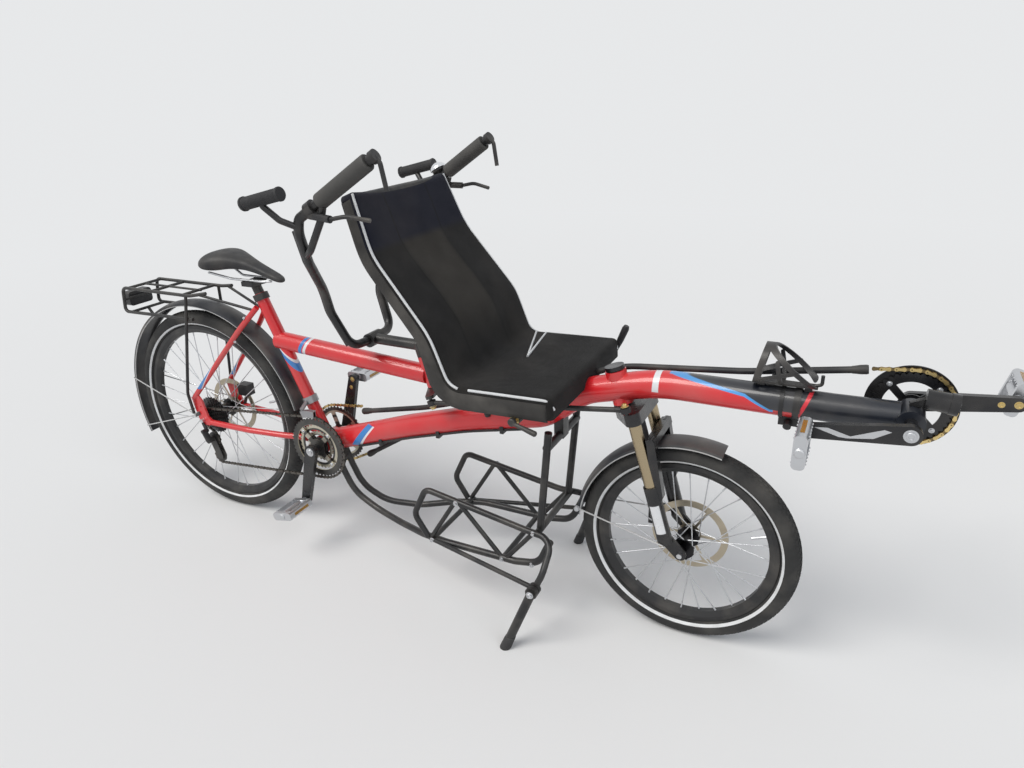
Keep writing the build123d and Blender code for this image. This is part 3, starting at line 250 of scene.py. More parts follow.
def beam_paint():
    """Red, with a pale badge, a navy front edged in light blue, and a blue sweep at the crank."""
    paint = frame_coat("beam_red")
    x, _, z = paint.axes()
    # The navy's lower edge falls forward, and falls faster past x 1583.
    slow_fall = paint.spread(x, 1431.0, 1583.0, 0.0, 20.0)
    fast_fall = paint.spread(x, 1583.0, 1634.0, 0.0, 26.0)
    level = paint.math("ADD", z, paint.math("ADD", slow_fall, fast_fall))
    paint.stripe(level, 670.0, 876.0, SKY, paint.between(x, 1424.0, 1640.0))
    paint.stripe(level, 676.0, 876.0, INK, paint.between(x, 1424.0, 1760.0))
    paint.stripe(x, 1393.0, 1407.0, WHITE, paint.between(z, 631.0, 800.0))
    sweep = paint.slant((566.0, 365.0), 1.0, -0.8)
    low = paint.between(z, 330.0, 400.0)
    paint.stripe(sweep, 0.0, 22.0, BLUE, low)
    paint.stripe(sweep, 22.0, 29.0, WHITE, low)
    paint.dust(0.16)
    return paint.done()


def striped_red(name, place, x_weight, z_weight, stripes):
    """Red, with slanted stripes given as (from, to, colour) past a place."""
    paint = frame_coat(name)
    past = paint.slant(place, x_weight, z_weight)
    for low, high, color in stripes:
        paint.stripe(past, low, high, color)
    paint.dust(0.14)
    return paint.done()


def stay_paint():
    """Red, with a blue wedge edged in white that runs up the back of each stay."""
    paint = frame_coat("stay_red")
    _, _, z = paint.axes()
    past = paint.slant((16.8, 436.0), -0.7335, 0.535)
    above = paint.between(z, 436.0, 560.0)
    paint.stripe(past, 0.0, 50.0, BLUE, above)
    paint.stripe(past, -1.8, 0.0, WHITE, above)
    paint.dust(0.22)
    return paint.done()


def plain_red():
    paint = frame_coat("frame_red_plain")
    paint.dust(0.22)
    return paint.done()


def dark_paint(name, color, roughness):
    coat = Paint(name, color, 0.25, roughness)
    coat.clear_coat(0.25, 0.25)
    coat.ripple(1400.0, 3.0, 0.12, 0.0003)
    return coat


def dark_metal(name, color, roughness, dust):
    coat = dark_paint(name, color, roughness)
    coat.dust(dust, 14.0)
    return coat.done()


def bright_metal(name, color, roughness, dust):
    metal = Paint(name, color, 1.0, roughness)
    metal.ripple(900.0, 2.0, 0.1, 0.0003)
    metal.dust(dust, 20.0)
    return metal.done()


def rubber(name, color, roughness, dust):
    made = Paint(name, color, 0.0, roughness)
    made.ripple(420.0, 6.0, 0.35, 0.0006)
    made.dust(dust, 12.0, RUBBER_DUST)
    return made.done()


def plastic(name, color, roughness, dust):
    made = Paint(name, color, 0.0, roughness)
    made.ripple(1600.0, 3.0, 0.2, 0.0003)
    made.dust(dust, 10.0)
    return made.done()


def hub_metal(name, axle, black_radius):
    """Black hub shell, with silver spokes beyond it."""
    metal = Paint(name, (0.62, 0.63, 0.65), 1.0, 0.24)
    metal.stripe(metal.radius(axle), -1000.0, black_radius, (0.03, 0.03, 0.033))
    metal.dust(0.12, 18.0)
    return metal.done()


def ring_metal():
    """Dark outer chainring over worn bright inner ones."""
    metal = Paint("captain_ring_metal", (0.09, 0.088, 0.085), 0.9, 0.3)
    radius = metal.radius(CAPTAIN_AXLE)
    metal.stripe(radius, 58.0, 71.5, (0.62, 0.58, 0.47))
    metal.stripe(radius, 36.0, 50.0, (0.50, 0.47, 0.40))
    metal.bump(metal.wave(60.0, "Y", 2.0), 0.1, 0.0003)
    metal.dust(0.2, 30.0)
    return metal.done()


def guard_coat(name, axle, shell_radius):
    """Dark grey mudguard plastic, with bright wire stays inside the shell's radius."""
    guard = Paint(name, (0.022, 0.024, 0.030), 0.0, 0.34)
    guard.stripe(guard.radius(axle), 30.0, shell_radius, (0.5, 0.5, 0.5))
    guard.ripple(500.0, 3.0, 0.08, 0.0004)
    guard.dust(0.34, 7.0)
    return guard.done()


def boom_coat():
    """Near-black blue, with a slanted red stripe in front of the clamp."""
    coat = Paint("boom_coat", (0.010, 0.013, 0.021), 0.1, 0.32)
    coat.stripe(coat.slant((1690.0, 640.0), 1.0, -0.40), 0.0, 8.0, (0.72, 0.02, 0.04))
    coat.clear_coat(0.3, 0.2)
    coat.ripple(1400.0, 3.0, 0.1, 0.0003)
    coat.dust(0.1, 14.0)
    return coat.done()


def fork_coat():
    """Gloss black, with a bare white label on the outside of the right leg."""
    coat = dark_paint("fork_gloss_black", (0.012, 0.012, 0.014), 0.2)
    _, y, _ = coat.axes()
    down = coat.slant(FORK_TOP, STEER_SINE, -STEER_COSINE)
    forward = coat.slant(FORK_TOP, STEER_COSINE, STEER_SINE)
    label = coat.both(coat.between(down, 305.0, 375.0), coat.between(forward, 28.0, 49.0))
    coat.stripe(y, -200.0, -60.0, WHITE, label)
    coat.dust(0.1, 14.0)
    return coat.done()


def seat_mesh():
    """Black netting, thinner in the middle of the back, doubled and navy at the top, seamed."""
    net = Paint("seat_mesh", (0.010, 0.0095, 0.0095), 0.0, 0.8)
    _, y, z = net.axes()
    aside = net.math("ABSOLUTE", y)
    middle = net.spread(aside, 70.0, 90.0, 0.8, 0.0)
    net.paint_over(net.both(middle, net.spread(z, 680.0, 780.0)), (0.036, 0.032, 0.027))
    net.paint_over(net.spread(z, 925.0, 940.0), (0.008, 0.009, 0.019))
    net.paint_over(net.between(aside, 84.0, 87.0, 0.4), (0.003, 0.003, 0.003))
    thread = net.both(net.wave(420.0, "Y"), net.wave(420.0, "Z"))
    net.paint_over(net.spread(thread, 0.2, 0.8, 0.0, 0.35), (0.004, 0.004, 0.005))
    net.dust(0.12, 5.0, CLOTH_DUST)
    net.bump(thread, 0.5, 0.0006)
    net.set("Specular IOR Level", 0.25)
    net.set("Sheen Weight", 0.04)
    net.set("Sheen Roughness", 0.5)
    return net.done()


def saddle_skin():
    skin = Paint("saddle_skin", (0.016, 0.016, 0.018), 0.0, 0.46)
    skin.ripple(1500.0, 5.0, 0.3, 0.0004)
    skin.dust(0.14, 16.0)
    return skin.done()


def piping_cord():
    cord = Paint("white_piping", (0.72, 0.73, 0.74), 0.0, 0.5)
    cord.bump(cord.wave(900.0, "Z", 1.0), 0.4, 0.0004)
    cord.dust(0.2, 30.0)
    return cord.done()


def reflective_band():
    band = Paint("reflective_band", (0.72, 0.73, 0.74), 0.0, 0.35)
    band.dust(0.3, 30.0)
    return band.done()


def clear_lens(name, color):
    lens = Paint(name, color, 0.0, 0.06)
    lens.set("Transmission Weight", 0.85)
    lens.bump(lens.wave(260.0, "Y"), 0.5, 0.0008)
    return lens.done()


# Finishes. The plain ones are given by name, colour, roughness and share of dust.
BLACK = dark_metal("black_coat", (0.014, 0.014, 0.015), 0.38, 0.18)
SATIN_BLACK = dark_metal("satin_black", (0.014, 0.014, 0.016), 0.5, 0.26)
GLOSS_BLACK = dark_metal("gloss_black", (0.012, 0.012, 0.014), 0.2, 0.1)
SILVER = bright_metal("silver", (0.6, 0.61, 0.63), 0.28, 0.12)
STEEL = bright_metal("gear_steel", (0.36, 0.36, 0.37), 0.34, 0.2)
DISC = bright_metal("disc_steel", (0.50, 0.44, 0.34), 0.3, 0.2)
CHAIN = bright_metal("chain_gold", (0.78, 0.60, 0.27), 0.24, 0.14)
# Inner links of the gold chain: darker gold as painted shade between the outer plates.
CHAIN_SHADE = bright_metal("chain_gold_inner_painted_shade", (0.26, 0.19, 0.09), 0.34, 0.2)
DARK_CHAIN = bright_metal("chain_dark", (0.13, 0.12, 0.11), 0.36, 0.3)
# Inner links of the dark chain: darker still, as painted shade between the outer plates.
DARK_CHAIN_SHADE = bright_metal("chain_dark_inner_painted_shade", (0.06, 0.056, 0.05), 0.4, 0.3)
DARK_STEEL = bright_metal("ring_dark", (0.11, 0.11, 0.115), 0.34, 0.2)
BRONZE = bright_metal("stanchion_bronze", (0.42, 0.34, 0.22), 0.16, 0.06)
CHROME = bright_metal("chrome", (0.8, 0.81, 0.83), 0.07, 0.05)
BRASS = bright_metal("brass_bolt", (0.62, 0.47, 0.2), 0.24, 0.12)
CABLE = plastic("cable_cover", (0.012, 0.012, 0.013), 0.35, 0.08)
GUARD = plastic("guard_plastic", (0.016, 0.016, 0.018), 0.34, 0.3)
TUBE_PLASTIC = plastic("tube_plastic", (0.018, 0.018, 0.02), 0.5, 0.24)
MARK = plastic("crank_mark", (0.5, 0.51, 0.53), 0.35, 0.1)
TYRE = rubber("tyre_rubber", (0.022, 0.022, 0.022), 0.75, 0.25)
GRIP_BLACK = rubber("grip_black", (0.024, 0.024, 0.026), 0.62, 0.12)
GRIP_GREY = rubber("grip_grey", (0.060, 0.058, 0.055), 0.7, 0.2)
SEAT_BAND = rubber("seat_band", (0.034, 0.032, 0.03), 0.8, 0.3)
LENS = clear_lens("lamp_glass", (0.9, 0.93, 0.95))
RED_LENS = clear_lens("red_glass", (0.55, 0.01, 0.012))
AMBER = clear_lens("amber_reflector", (0.85, 0.42, 0.02))
SEAT_MESH = seat_mesh()
SADDLE_SKIN = saddle_skin()
PIPING = piping_cord()
REFLECTOR = reflective_band()
SEAT_TUBE_RED = striped_red(
    "seat_tube_red", (338.0, 545.0), 0.9, 1.0, [(0.0, 16.0, BLUE), (16.0, 22.0, WHITE)],
)
TOP_TUBE_RED = striped_red(
    "top_tube_red", (392.0, 600.0), 1.0, -0.5, [(0.0, 12.0, BLUE), (16.0, 26.0, WHITE)],
)

NODE_FINISHES = [
    # finish, then the nodes that have it
    (beam_paint(), "main_beam"),
    (SEAT_TUBE_RED, "seat_tube"),
    (TOP_TUBE_RED, "top_tube"),
    (plain_red(), "chainstays"),
    (stay_paint(), "seatstays"),
    (boom_coat(), "boom"),
    (fork_coat(), "fork_lowers"),
    (ring_metal(), "captain_chainrings"),
    (guard_coat("rear_guard_coat", REAR_AXLE, 352.0), "rear_mudguard"),
    (guard_coat("front_guard_coat", FRONT_AXLE, 256.5), "front_mudguard"),
    (hub_metal("rear_hub_metal", REAR_AXLE, 29.5), "rear_hub"),
    (hub_metal("front_hub_metal", FRONT_AXLE, 27.5), "front_hub"),
    (BLACK, "saddle rear_rack load_rack boom_clamp rear_rim front_rim"),
    (BLACK, "steering_stem handlebar_arms right_stand_leg left_stand_leg"),
    (SATIN_BLACK, "seat_post seat_frame rear_derailleur rear_caliper front_caliper"),
    (SATIN_BLACK, "bar_controls tie_rod"),
    (GLOSS_BLACK, "front_lamp fork_crown captain_cranks stoker_cranks stoker_chainring"),
    (SILVER, "rear_axle front_axle saddle_rails captain_right_pedal captain_left_pedal"),
    (SILVER, "stoker_right_pedal stoker_left_pedal"),
    (GUARD, "rear_lamp bottle_cage"),
    (TUBE_PLASTIC, "seat_cover chain_tubes"),
    (CABLE, "frame_cables bar_cables"),
    (TYRE, "rear_tyre front_tyre"),
    (DISC, "rear_rotor front_rotor"),
    (DARK_STEEL, "cassette"),
    (STEEL, "front_derailleur"),
    (CHAIN, "stoker_chain"),
    (DARK_CHAIN, "drive_chain"),
    (BRONZE, "fork_stanchions"),
    (GRIP_BLACK, "handlebar_grips"),
]

for finish, node_names in NODE_FINISHES:
    for node_name in node_names.split():
        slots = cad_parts[node_name].data.materials
        slots.clear()
        slots.append(finish)


# Piece building
def around(axle, radius, angle, y=0.0):
    """Point at an angle round a wheel's or crank's axle."""
    return (axle[0] + radius * cos(angle), y, axle[1] + radius * sin(angle))


class Shape:
    """Points and faces of one piece, gathered part by part, in millimetres."""

    def __init__(self):
        self.points = []
        self.faces = []

    def add(self, points, faces):
        base = len(self.points)
        self.points.extend(Vector(point) for point in points)
        self.faces.extend([tuple(base + corner for corner in face) for face in faces])

    def grid(self, rows, closed_across=False, closed_along=False):
        """Skin over rows of points, all of one length."""
        count, width = len(rows), len(rows[0])
        faces = []
        for row in range(count if closed_along else count - 1):
            here, below = row * width, (row + 1) % count * width
            for column in range(width if closed_across else width - 1):
                right = (column + 1) % width
                faces.append((here + column, here + right, below + right, below + column))
        self.add([point for row in rows for point in row], faces)

    def cap(self, ring, facing=1):
        """Flat end over a ring of points, turned over where facing is -1."""
        self.add(ring, [tuple(range(len(ring)))[::facing]])

    def lathe(self, axle, profile, steps):
        """Revolves a closed outline of (radius, y) points about a wheel's axle."""
        rows = [
            [around(axle, radius, tau * step / steps, y) for radius, y in profile]
            for step in range(steps)
        ]
        self.grid(rows, closed_across=True, closed_along=True)

    def along(self, start, end, profile, sides):
        """Turned form on an axis: profile holds (share of the length, radius)."""
        start, end = Vector(start), Vector(end)
        axis = (end - start).normalized()
        side = axis.orthogonal().normalized()
        other = axis.cross(side)
        rows = []
        for share, radius in profile:
            centre = start.lerp(end, share)
            rows.append([
                centre + side * (radius * cos(tau * step / sides))
                + other * (radius * sin(tau * step / sides))
                for step in range(sides)
            ])
        self.grid(rows, closed_across=True)
        self.cap(rows[0])
        self.cap(rows[-1], -1)

    def rod(self, start, end, radius, sides):
        self.along(start, end, [(0.0, radius), (1.0, radius)], sides)

    def block(self, low, high):
        """Solid between two rings with like corners."""
        count = len(low)
        ring = range(count)
        walls = [(i, (i + 1) % count, count + (i + 1) % count, count + i) for i in ring]
        self.add(low + high, walls + [tuple(ring), tuple(count + i for i in ring)])

    def piece(self, name, finish, body, smooth_below=35.0):
        mesh = bpy.data.meshes.new(name)
        mesh.from_pydata([at(*point) for point in self.points], [], self.faces)
        shaper = bmesh.new()
        shaper.from_mesh(mesh)
        bmesh.ops.recalc_face_normals(shaper, faces=shaper.faces)
        shaper.to_mesh(mesh)
        shaper.free()
        mesh.shade_smooth()
        mesh.set_sharp_from_angle(angle=radians(smooth_below))
        mesh.materials.append(finish)
        return ride(name, mesh, body)


def put(name, data):
    """New object in the scene."""
    made = bpy.data.objects.new(name, data)
    bpy.context.scene.collection.objects.link(made)
    return made


def ride(name, data, body):
    """New piece in the scene, fixed to one moving body."""
    made = put(name, data)
    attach(made, body)
    return made


def turned(name, finish, body, parts, smooth_below=35.0):
    """Piece of turned forms, each given as (start, end, profile, sides)."""
    shape = Shape()
    for part in parts:
        shape.along(*part)
    return shape.piece(name, finish, body, smooth_below)


def hose(name, points, radius, finish):
    """Thin cord sewn or fixed along a smooth line on the frame."""
    curve = bpy.data.curves.new(name, "CURVE")
    curve.dimensions = "3D"
    curve.bevel_depth = radius / 1000.0
    curve.bevel_resolution = 3
    curve.use_fill_caps = True
    line = curve.splines.new("NURBS")
    line.points.add(len(points) - 1)
    for point, place in zip(line.points, points):
        point.co = (*at(*place), 1.0)
    line.order_u = 4
    line.use_endpoint_u = True
    line.resolution_u = 12
    curve.materials.append(finish)
    ride(name, curve, "frame")


def arc_through(first, middle, last, steps):
    """Points on the circle through three points."""
    (ax, ay), (bx, by), (cx, cy) = first, middle, last
    a, b, c = ax * ax + ay * ay, bx * bx + by * by, cx * cx + cy * cy
    d = 2 * (ax * (by - cy) + bx * (cy - ay) + cx * (ay - by))
    x = (a * (by - cy) + b * (cy - ay) + c * (ay - by)) / d
    y = (a * (cx - bx) + b * (ax - cx) + c * (bx - ax)) / d
    radius = hypot(ax - x, ay - y)
    start = atan2(ay - y, ax - x)
    through = (atan2(by - y, bx - x) - start) % tau
    turn = (atan2(cy - y, cx - x) - start) % tau
    if through > turn:
        turn -= tau
    angles = [start + turn * step / steps for step in range(steps + 1)]
    return [(x + radius * cos(angle), y + radius * sin(angle)) for angle in angles]


LINE_END = 1e-6


def evenly(line, spacing, multiple=1):
    """Evenly spaced places on a line of points, as (segment, share of it), in a multiple of steps."""
    lengths = [dist(a, b) for a, b in zip(line[:-1], line[1:])]
    total = sum(lengths)
    count = max(2, round(total / spacing / multiple) * multiple)
    places, passed, segment = [], 0.0, 0
    for index in range(count + 1):
        wanted = min(index * total / count, total - LINE_END)
        while passed + lengths[segment] < wanted:
            passed += lengths[segment]
            segment += 1
        places.append((segment, (wanted - passed) / lengths[segment]))
    return places


# Tyres
TYRE_HALF = 25.0
BEAD_HALF = 11.0
SHOULDER_RISE = 7.0
TREAD_EDGE_DROP = 11.0
TREAD_HALF = 20.0
TREAD_DEPTH = 1.8
TREAD_ROOT = 1.2
TREAD_PITCH = 15.0
TREAD_SLANT = 1.4
BELLY_RISE = 3.0
TOE_INSET = 0.5
BAND_OUT = 0.35
BAND_IN = 0.6
WHEEL_STEPS = 160
TREAD_ROWS = [
    # middle y, half width, half length, shift round the wheel in pitches
    (0.0, 2.6, 5.4, 0.0), (7.2, 2.8, 5.0, 0.5), (-7.2, 2.8, 5.0, 0.5), (14.0, 2.6, 5.6, 0.0),
    (-14.0, 2.6, 5.6, 0.0), (18.6, 1.5, 4.0, 0.5), (-18.6, 1.5, 4.0, 0.5),
]
OUTER_ROW = TREAD_ROWS[5][0]


def tread_radius(tyre_r, y):
    """Radius of the tread's outer surface at distance y from the middle."""
    curve = (TREAD_HALF ** 2 + TREAD_EDGE_DROP ** 2) / (2 * TREAD_EDGE_DROP)
    return tyre_r - curve + sqrt(curve ** 2 - y ** 2)


def add_tread(tyre, axle, tyre_r):
    count = int(tau * tyre_r / TREAD_PITCH / 2) * 2
    for middle, half_width, half_length, shift in TREAD_ROWS:
        slant = TREAD_SLANT * middle / OUTER_ROW
        for number in range(count):
            angle = tau * (number + shift) / count
            corners = []
            for depth, taper in ((TREAD_DEPTH + TREAD_ROOT, 1.0), (0.1, 0.86)):
                for along_sign, side_sign in ((-1, -1), (1, -1), (1, 1), (-1, 1)):
                    y = middle + side_sign * half_width * taper
                    reach = along_sign * half_length * taper + side_sign * slant
                    radius = tread_radius(tyre_r, y) - depth
                    corners.append(around(axle, radius, angle + reach / tyre_r, y))
            tyre.add(corners, [(4, 5, 6, 7), (0, 1, 5, 4), (1, 2, 6, 5), (2, 3, 7, 6), (3, 0, 4, 7)])


def make_tyre(wheel, axle, tyre_r, bead_r, band):
    shoulder = (bead_r + SHOULDER_RISE, BEAD_HALF)
    edge = (tyre_r - TREAD_EDGE_DROP, TREAD_HALF)
    belly = ((shoulder[0] + edge[0]) / 2 + BELLY_RISE, TYRE_HALF)
    wall = arc_through(shoulder, belly, edge, 12)
    crown = arc_through(edge, (tyre_r - TREAD_DEPTH, 0.0), (edge[0], -edge[1]), 14)
    other_wall = [(radius, -y) for radius, y in reversed(wall)]
    toe = (bead_r, BEAD_HALF - TOE_INSET)
    tyre = Shape()
    tyre.lathe(axle, [toe] + wall + crown[1:-1] + other_wall + [(toe[0], -toe[1])], WHEEL_STEPS)
    add_tread(tyre, axle, tyre_r)
    piece = tyre.piece(f"{wheel}_tyre_tread", TYRE, f"{wheel}_wheel")
    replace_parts(piece, f"{wheel}_tyre")
    stripe = Shape()
    fine = [spot for spot in arc_through(shoulder, belly, edge, 80) if band[0] <= spot[0] <= band[1]]
    for _, side in SIDES:
        strip = [(radius, side * (y + BAND_OUT)) for radius, y in fine]
        strip += [(radius, side * (y - BAND_IN)) for radius, y in reversed(fine)]
        stripe.lathe(axle, strip, WHEEL_STEPS)
    stripe.piece(f"{wheel}_reflective_band", REFLECTOR, f"{wheel}_wheel")


make_tyre("rear", REAR_AXLE, 331.0, 279.5, (291.0, 296.5))
make_tyre("front", FRONT_AXLE, 253.0, 203.0, (214.0, 220.0))


# Spoke nipples and valves
SPOKE_LEAN = radians(62.0)
RIM_END_SHARE = 0.12
NIPPLE_LENGTH = 13.0
VALVE_LENGTH = 34.0
NIPPLE = [(0.0, 2.6), (0.12, 2.6), (0.2, 2.0), (1.0, 1.8)]
VALVE = [(0.0, 3.0), (0.5, 3.0), (0.52, 3.8), (1.0, 3.6)]


def inward_form(foot, goal, length, profile, sides):
    """Turned form from foot towards goal."""
    foot = Vector(foot)
    return (foot, foot + (Vector(goal) - foot).normalized() * length, profile, sides)


def make_nipples(wheel, axle, count, flange_r, flange_ys, rim_r):
    parts = []
    for number in range(count):
        flange_y = flange_ys[number % 2]
        forward = 1 if (number // 2) % 2 == 0 else -1
        angle = tau * number / count
        hub_end = around(axle, flange_r, angle + SPOKE_LEAN * forward, flange_y)
        rim_end = around(axle, rim_r, angle, RIM_END_SHARE * flange_y)
        parts.append(inward_form(rim_end, hub_end, NIPPLE_LENGTH, NIPPLE, 8))
    foot = around(axle, rim_r, pi / count * 3)
    parts.append(inward_form(foot, (axle[0], 0.0, axle[1]), VALVE_LENGTH, VALVE, 10))
    turned(f"{wheel}_nipples", SILVER, f"{wheel}_wheel", parts)


make_nipples("rear", REAR_AXLE, 32, 28.0, (34.0, -22.0), 262.3)
make_nipples("front", FRONT_AXLE, 28, 26.0, (22.0, -30.0), 185.8)


# Chains
CHAIN_PITCH = 12.7
LINK_HALF_HEIGHT = 4.0
CHAIN_GAP = 0.6
PLATE_THICK = 0.85
WAIST_SHARE = 0.62
OUTER_OFFSET = 2.1
INNER_OFFSET = 1.25
BELT_STEP = 2.0
LINK_RODS = [
    # half length, radius and sides of the roller, then of the pin
    (1.3, 3.4, 8), (3.2, 1.5, 6),
]
LEFT_CHAIN_Y = 50.0
RIGHT_CHAIN_Y = -54.0


def belt_points(pulleys):
    """Chain pins on the closed line round pulleys given as (x, z, signed radius)."""
    count = len(pulleys)
    leave, meet = [None] * count, [None] * count
    for i in range(count):
        j = (i + 1) % count
        (x1, z1, r1), (x2, z2, r2) = pulleys[i], pulleys[j]
        turn = asin((r2 - r1) / hypot(x2 - x1, z2 - z1))
        heading = atan2(z2 - z1, x2 - x1) - turn
        side_x, side_z = -sin(heading), cos(heading)
        leave[i] = (x1 - side_x * r1, z1 - side_z * r1)
        meet[j] = (x2 - side_x * r2, z2 - side_z * r2)
    line = []
    for (x, z, radius), (meet_x, meet_z), (leave_x, leave_z) in zip(pulleys, meet, leave):
        begin = atan2(meet_z - z, meet_x - x)
        end = atan2(leave_z - z, leave_x - x)
        turn = (end - begin) % tau if radius > 0 else -((begin - end) % tau)
        steps = max(4, int(abs(turn * radius) / BELT_STEP))
        for step in range(steps + 1):
            spot = around((x, z), abs(radius), begin + turn * step / steps)
            line.append((spot[0], spot[2]))
    line.append(line[0])
    points = []
    for segment, share in evenly(line, CHAIN_PITCH, 2)[:-1]:
        (x1, z1), (x2, z2) = line[segment], line[segment + 1]
        points.append((x1 + (x2 - x1) * share, z1 + (z2 - z1) * share))
    return points


def add_link(shape, first, second, y, plate_offset):
    """Two side plates from pin to pin, and the roller and pin at the first."""
    along = Vector((second[0] - first[0], second[1] - first[1])).normalized()
    up = Vector((-along.y, along.x))
    outline = []
    for centre, sign in ((second, 1), (first, -1)):
        for degrees in (-76, -38, 0, 38, 76):
            angle = radians(degrees)
            out = (along * cos(angle) + up * sin(angle)) * sign
            outline.append(Vector(centre) + out * LINK_HALF_HEIGHT)
        middle = 0.5 * (Vector(first) + Vector(second))
        outline.append(middle + up * (sign * LINK_HALF_HEIGHT * WAIST_SHARE))
    for side in (1, -1):
        near, far = y + side * plate_offset, y + side * (plate_offset + PLATE_THICK)
        shape.block([(x, near, z) for x, z in outline], [(x, far, z) for x, z in outline])
    for half_length, radius, sides in LINK_RODS:
        start, end = (first[0], y - half_length, first[1]), (first[0], y + half_length, first[1])
        shape.rod(start, end, radius, sides)


def make_chain(name, pulleys, y, replaced, finishes, low_x=-inf, high_x=inf):
    """Outer and inner links as two pieces, kept between two values of X."""
    points = belt_points(pulleys)
    # The inner links take the second finish, darker as painted shade.
    kinds = (("outer", OUTER_OFFSET, finishes[0]), ("inner", INNER_OFFSET, finishes[1]))
    for parity, (kind, plate_offset, finish) in enumerate(kinds):
        chain = Shape()
        for number in range(parity, len(points), 2):
            first, second = points[number], points[(number + 1) % len(points)]
            if low_x < min(first[0], second[0]) and max(first[0], second[0]) < high_x:
                add_link(chain, first, second, y, plate_offset)
        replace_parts(chain.piece(f"{name}_{kind}", finish, "frame"), replaced)


def pulley(axle, radius):
    return (axle[0], axle[1], radius + copysign(CHAIN_GAP + LINK_HALF_HEIGHT, radius))


DRIVE_PULLEYS = [
    pulley(CAPTAIN_AXLE, 91.0), pulley(REAR_AXLE, 27.8),
    pulley((6.0, 262.0), -20.0), pulley((25.0, 205.0), 20.0),
]
FRONT_PULLEYS = [(1740.0, 596.0, 5.0), pulley(STOKER_AXLE, 72.0), (1740.0, 701.0, 5.0)]
REAR_PULLEYS = [pulley(CAPTAIN_AXLE, 84.0), (590.0, 302.0, 5.0), (590.0, 419.0, 5.0)]
GOLD = (CHAIN, CHAIN_SHADE)
make_chain(
    "drive_chain_links", DRIVE_PULLEYS, RIGHT_CHAIN_Y, "drive_chain", (DARK_CHAIN, DARK_CHAIN_SHADE),
)
make_chain(
    "stoker_chain_links_front", FRONT_PULLEYS, LEFT_CHAIN_Y, "stoker_chain", GOLD, low_x=1797.0,
)
make_chain(
    "stoker_chain_links_rear", REAR_PULLEYS, LEFT_CHAIN_Y, "stoker_chain", GOLD, high_x=533.0,
)

# Flared ends of the chain tubes
TUBE_MOUTHS = [
    # mouth x, z, then a place further along the tube
    ((1799.0, 711.0), (1570.0, 674.0)), ((1799.0, 590.0), (1600.0, 612.0)),
    ((531.0, 401.0), (745.0, 449.0)), ((531.0, 262.0), (760.0, 405.0)),
]
FLARE = [(0.0, 5.4), (0.0, 8.6), (0.1, 9.6), (0.5, 9.4), (0.72, 8.4), (1.0, 7.6), (1.0, 5.4)]
turned("chain_tube_ends", TUBE_PLASTIC, "frame", [
    inward_form((x, LEFT_CHAIN_Y, z), (far_x, LEFT_CHAIN_Y, far_z), 30.0, FLARE, 24)
    for (x, z), (far_x, far_z) in TUBE_MOUTHS
])


# Seat cover: stretched mesh sling over the seat frame, with side bands and white piping
SEAT_LINE = [(768.0, 1037.0), (812.0, 918.0), (946.0, 755.0), (990.0, 638.0), (1225.0, 645.0)]
SEAT_BENDS = [200.0, 150.0, 45.0]
SEAT_HALF_WIDTHS = [
    # height z, half the distance between the rails
    (1077.0, 168.0), (1037.0, 173.0), (918.0, 188.0), (755.0, 196.0), (638.0, 196.0),
]
SEAT_BARS = [768.0, 900.0, 1045.0, 1225.0]
PAN_TOP = 700.0
STATION_STEP = 9.0
COVER_REACH = 11.8
COVER_THICK = 3.0
COVER_SAG = 4.0
TOP_DIP = 11.0
TOP_DIP_REACH = 16.0
ACROSS_STEPS = 24
EDGE_TURNS = [radians(angle) for angle in (0, 18, 36, 54, 72)]
WRAP_TURNS = (-90.0, -75.0, -60.0, -45.0, -30.0, -15.0)
APRON_DEPTH = 34.0
BACK_BAND_DEPTH = 28.0
PAN_BAND_DEPTH = 40.0
PIPING_R = 3.0
PIPING_TURN = radians(42)
PIPING_RISE = 1.2
PIPING_STEP = 14.0
PIPING_OVERHANG = 9.0
BACK_PIPING_END = 1024.0
PAN_PIPING_START = 1030.0
SURFACE_STEP = 4.0
BEND_STEP = 6.0
BAND_WIDENS_BELOW = 760.0
BAND_WIDENS_OVER = 100.0
NOTCH_STARTS = (1016.0, 1044.0)
NOTCH_PIPING_R = 2.6
NOTCH_TIP = (1076.0, 18.0)
NOTCH_SIDE = 198.0


def outward(way):
    """Out of the cloth, for a way down along it."""
    return Vector((-way.y, way.x))


def rounded_line(points, bends, spacing):
    """Evenly spaced (place, way) stations on a line of points with rounded corners."""
    points = [Vector(point) for point in points]
    dense = [points[0]]
    for before, corner, after, bend in zip(points[:-2], points[1:-1], points[2:], bends):
        into, out = (corner - before).normalized(), (after - corner).normalized()
        turn = atan2(into.x * out.y - into.y * out.x, into.dot(out))
        start = corner - into * (bend * tan(abs(turn) / 2))
        centre = start + outward(into) * copysign(bend, turn)
        steps = max(3, int(abs(turn) * bend / BEND_STEP))
        for step in range(steps + 1):
            dense.append(centre + Matrix.Rotation(turn * step / steps, 2) @ (start - centre))
    dense.append(points[-1])
    stations = []
    for segment, share in evenly(dense, spacing):
        start, end = dense[segment], dense[segment + 1]
        stations.append((start.lerp(end, share), (end - start).normalized()))
    return stations


def seat_half_width(z):
    """Half the distance between the rails at height z."""
    for (high, wide), (low, wider) in zip(SEAT_HALF_WIDTHS[:-1], SEAT_HALF_WIDTHS[1:]):
        if z >= low:
            return wide + (wider - wide) * min(max((high - z) / (high - low), 0.0), 1.0)
    return SEAT_HALF_WIDTHS[-1][1]


def sag_share(x):
    """0 where a cross bar holds the mesh, 1 midway between bars."""
    for low, high in zip(SEAT_BARS[:-1], SEAT_BARS[1:]):
        if low <= x <= high:
            return sin(pi * (x - low) / (high - low))
    return 0.0


